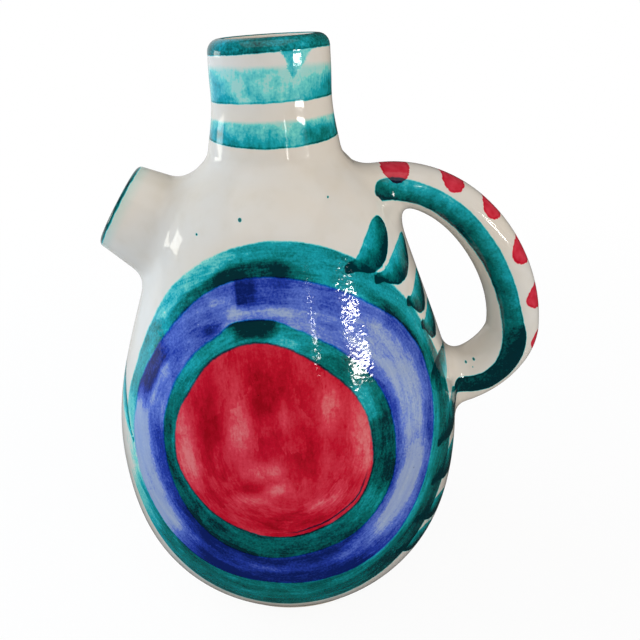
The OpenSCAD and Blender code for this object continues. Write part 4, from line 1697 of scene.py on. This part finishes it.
class CARAFE_OT_stage(bpy.types.Operator):
    """Set the floor, the soft studio light and the camera"""

    bl_idname = "carafe.stage"
    bl_label = "Stage"

    def execute(self, context):
        scene = context.scene
        studio = scene.carafe_studio
        scene.view_settings.view_transform = "Standard"
        self.floor(scene, studio)
        self.world(scene, studio)
        for lamp in LAMPS:
            self.lamp(scene, *lamp)
        self.camera(scene, studio)
        return {"FINISHED"}

    def floor(self, scene, studio):
        """A pale floor that shows as white and keeps the carafe's shadow."""
        half = studio.floor_size
        corners = [(-half, -half, 0), (half, -half, 0), (half, half, 0), (-half, half, 0)]
        mesh = mesh_of("studio_floor", corners, [(0, 1, 2, 3)])
        brush = Brush(bpy.data.materials.new("studio_floor"))
        camera, glossy, through = brush.rays()
        spot = brush.node("ShaderNodeNewGeometry").outputs["Position"]
        x, y, _ = brush.split(spot)
        behind = y.above(*FLOOR_BEHIND) * x.below(*FLOOR_ASIDE)
        shown = brush.most(brush.most(camera, through), glossy * behind * studio.sheen)
        reach = brush.node("ShaderNodeVectorMath", operation="LENGTH")
        brush.plug(reach.inputs[0], spot)
        far = Field(brush, reach.outputs["Value"]).above(*FLOOR_FADE)
        white = far * (1 - studio.floor_white) + studio.floor_white
        unlit = glossy * (1 - studio.room)
        paint = brush.node("ShaderNodeBsdfDiffuse")
        colour = brush.blend("MIX", unlit, tuple(linear(studio.floor)), (0, 0, 0))
        brush.plug(paint.inputs["Color"], colour)
        plain = brush.node("ShaderNodeEmission")
        brush.finish(brush.mixed(shown * white, paint.outputs[0], plain.outputs[0]))
        mesh.materials.append(brush.owner)
        floor = bpy.data.objects.new("studio_floor", mesh)
        scene.collection.objects.link(floor)

    def world(self, scene, studio):
        """A white backdrop, even light, and a dimmer room on the camera's side for the glaze to mirror."""
        scene.world = bpy.data.worlds.new("studio")
        brush = Brush(scene.world)
        camera, glossy, through = brush.rays()
        x, y, _ = brush.split(brush.node("ShaderNodeTexCoord").outputs["Generated"])
        behind = y.above(*SKY_BEHIND) * x.below(*SKY_ASIDE)
        mirrored = glossy * (behind * (studio.sheen - studio.room) + studio.room)
        plain = brush.most(camera, through)
        level = plain + mirrored + (1 - brush.most(plain, glossy)) * studio.ambient
        light = brush.node("ShaderNodeBackground")
        light.inputs["Color"].default_value = (1, 1, 1, 1)
        brush.plug(light.inputs["Strength"], level)
        brush.finish(light.outputs[0], "ShaderNodeOutputWorld")

    def lamp(self, scene, name, azimuth, elevation, distance, wide, tall, level, colour, mirrored):
        """A soft window of light. Azimuth 0 is on the camera's side, and level is its brightness."""
        data = bpy.data.lights.new(name, "AREA")
        data.shape = "RECTANGLE"
        data.size = wide
        data.size_y = tall
        data.energy = level * math.pi * wide * tall
        data.color = colour
        side = math.radians(azimuth)
        rise = math.radians(elevation)
        level_part = math.cos(rise)
        way = Vector((math.sin(side) * level_part, -math.cos(side) * level_part, math.sin(rise)))
        lamp = bpy.data.objects.new(name, data)
        lamp.location = Vector((0, 0, LAMP_AIM)) + way * distance
        lamp.rotation_mode = "QUATERNION"
        lamp.rotation_quaternion = (-way).to_track_quat("-Z", "Y")
        lamp.visible_camera = False
        lamp.visible_glossy = mirrored
        scene.collection.objects.link(lamp)

    def camera(self, scene, studio):
        """A camera at the photograph's place and angle."""
        data = bpy.data.cameras.new("camera")
        data.sensor_fit = "HORIZONTAL"
        data.lens = data.sensor_width * studio.lens
        forward = Vector((
            math.sin(studio.yaw) * math.cos(studio.pitch),
            math.cos(studio.yaw) * math.cos(studio.pitch),
            -math.sin(studio.pitch),
        ))
        level = Vector((math.cos(studio.yaw), -math.sin(studio.yaw), 0))
        upright = level.cross(forward)
        right = math.cos(studio.roll) * level + math.sin(studio.roll) * upright
        up = math.cos(studio.roll) * upright - math.sin(studio.roll) * level
        camera = bpy.data.objects.new("camera", data)
        turned_to = Matrix((right, up, -forward)).transposed()
        moved = Matrix.Translation((0, -studio.camera_back, studio.camera_h))
        camera.matrix_world = moved @ turned_to.to_4x4()
        data.clip_start = CLIP_START
        scene.collection.objects.link(camera)
        scene.camera = camera


class CARAFE_PT_panel(bpy.types.Panel):
    """Sizes, colours and steps of the carafe"""

    bl_idname = "CARAFE_PT_panel"
    bl_label = "Painted carafe"
    bl_space_type = "VIEW_3D"
    bl_region_type = "UI"
    bl_category = "Carafe"

    def draw(self, context):
        for step in STEPS:
            self.layout.operator(step.bl_idname)
        for group in GROUPS:
            box = self.layout.box()
            box.label(text=group)
            settings = getattr(context.scene, group)
            for name in settings.__annotations__:
                box.prop(settings, name)


GROUPS = {
    "carafe_vessel": VesselShape,
    "carafe_spout": SpoutShape,
    "carafe_handle": HandleShape,
    "carafe_brushwork": Brushwork,
    "carafe_colours": GlazeColours,
    "carafe_studio": StudioSetup,
}
STEPS = [
    CARAFE_OT_foot,
    CARAFE_OT_body,
    CARAFE_OT_neck,
    CARAFE_OT_spout,
    CARAFE_OT_handle,
    CARAFE_OT_coils,
    CARAFE_OT_stage,
]


def register():
    """Adds the groups, operators and panel to Blender."""
    for name, group in GROUPS.items():
        bpy.utils.register_class(group)
        setattr(bpy.types.Scene, name, bpy.props.PointerProperty(type=group))
    for step in STEPS:
        bpy.utils.register_class(step)
    bpy.utils.register_class(CARAFE_PT_panel)


def unregister():
    """Takes them away again."""
    bpy.utils.unregister_class(CARAFE_PT_panel)
    for step in reversed(STEPS):
        bpy.utils.unregister_class(step)
    for name, group in GROUPS.items():
        delattr(bpy.types.Scene, name)
        bpy.utils.unregister_class(group)


def main():
    """Builds the carafe step by step."""
    register()
    bpy.ops.carafe.foot()
    bpy.ops.carafe.body()
    bpy.ops.carafe.neck()
    bpy.ops.carafe.spout()
    bpy.ops.carafe.handle()
    bpy.ops.carafe.coils()
    bpy.ops.carafe.stage()


if __name__ == "__main__":
    main()
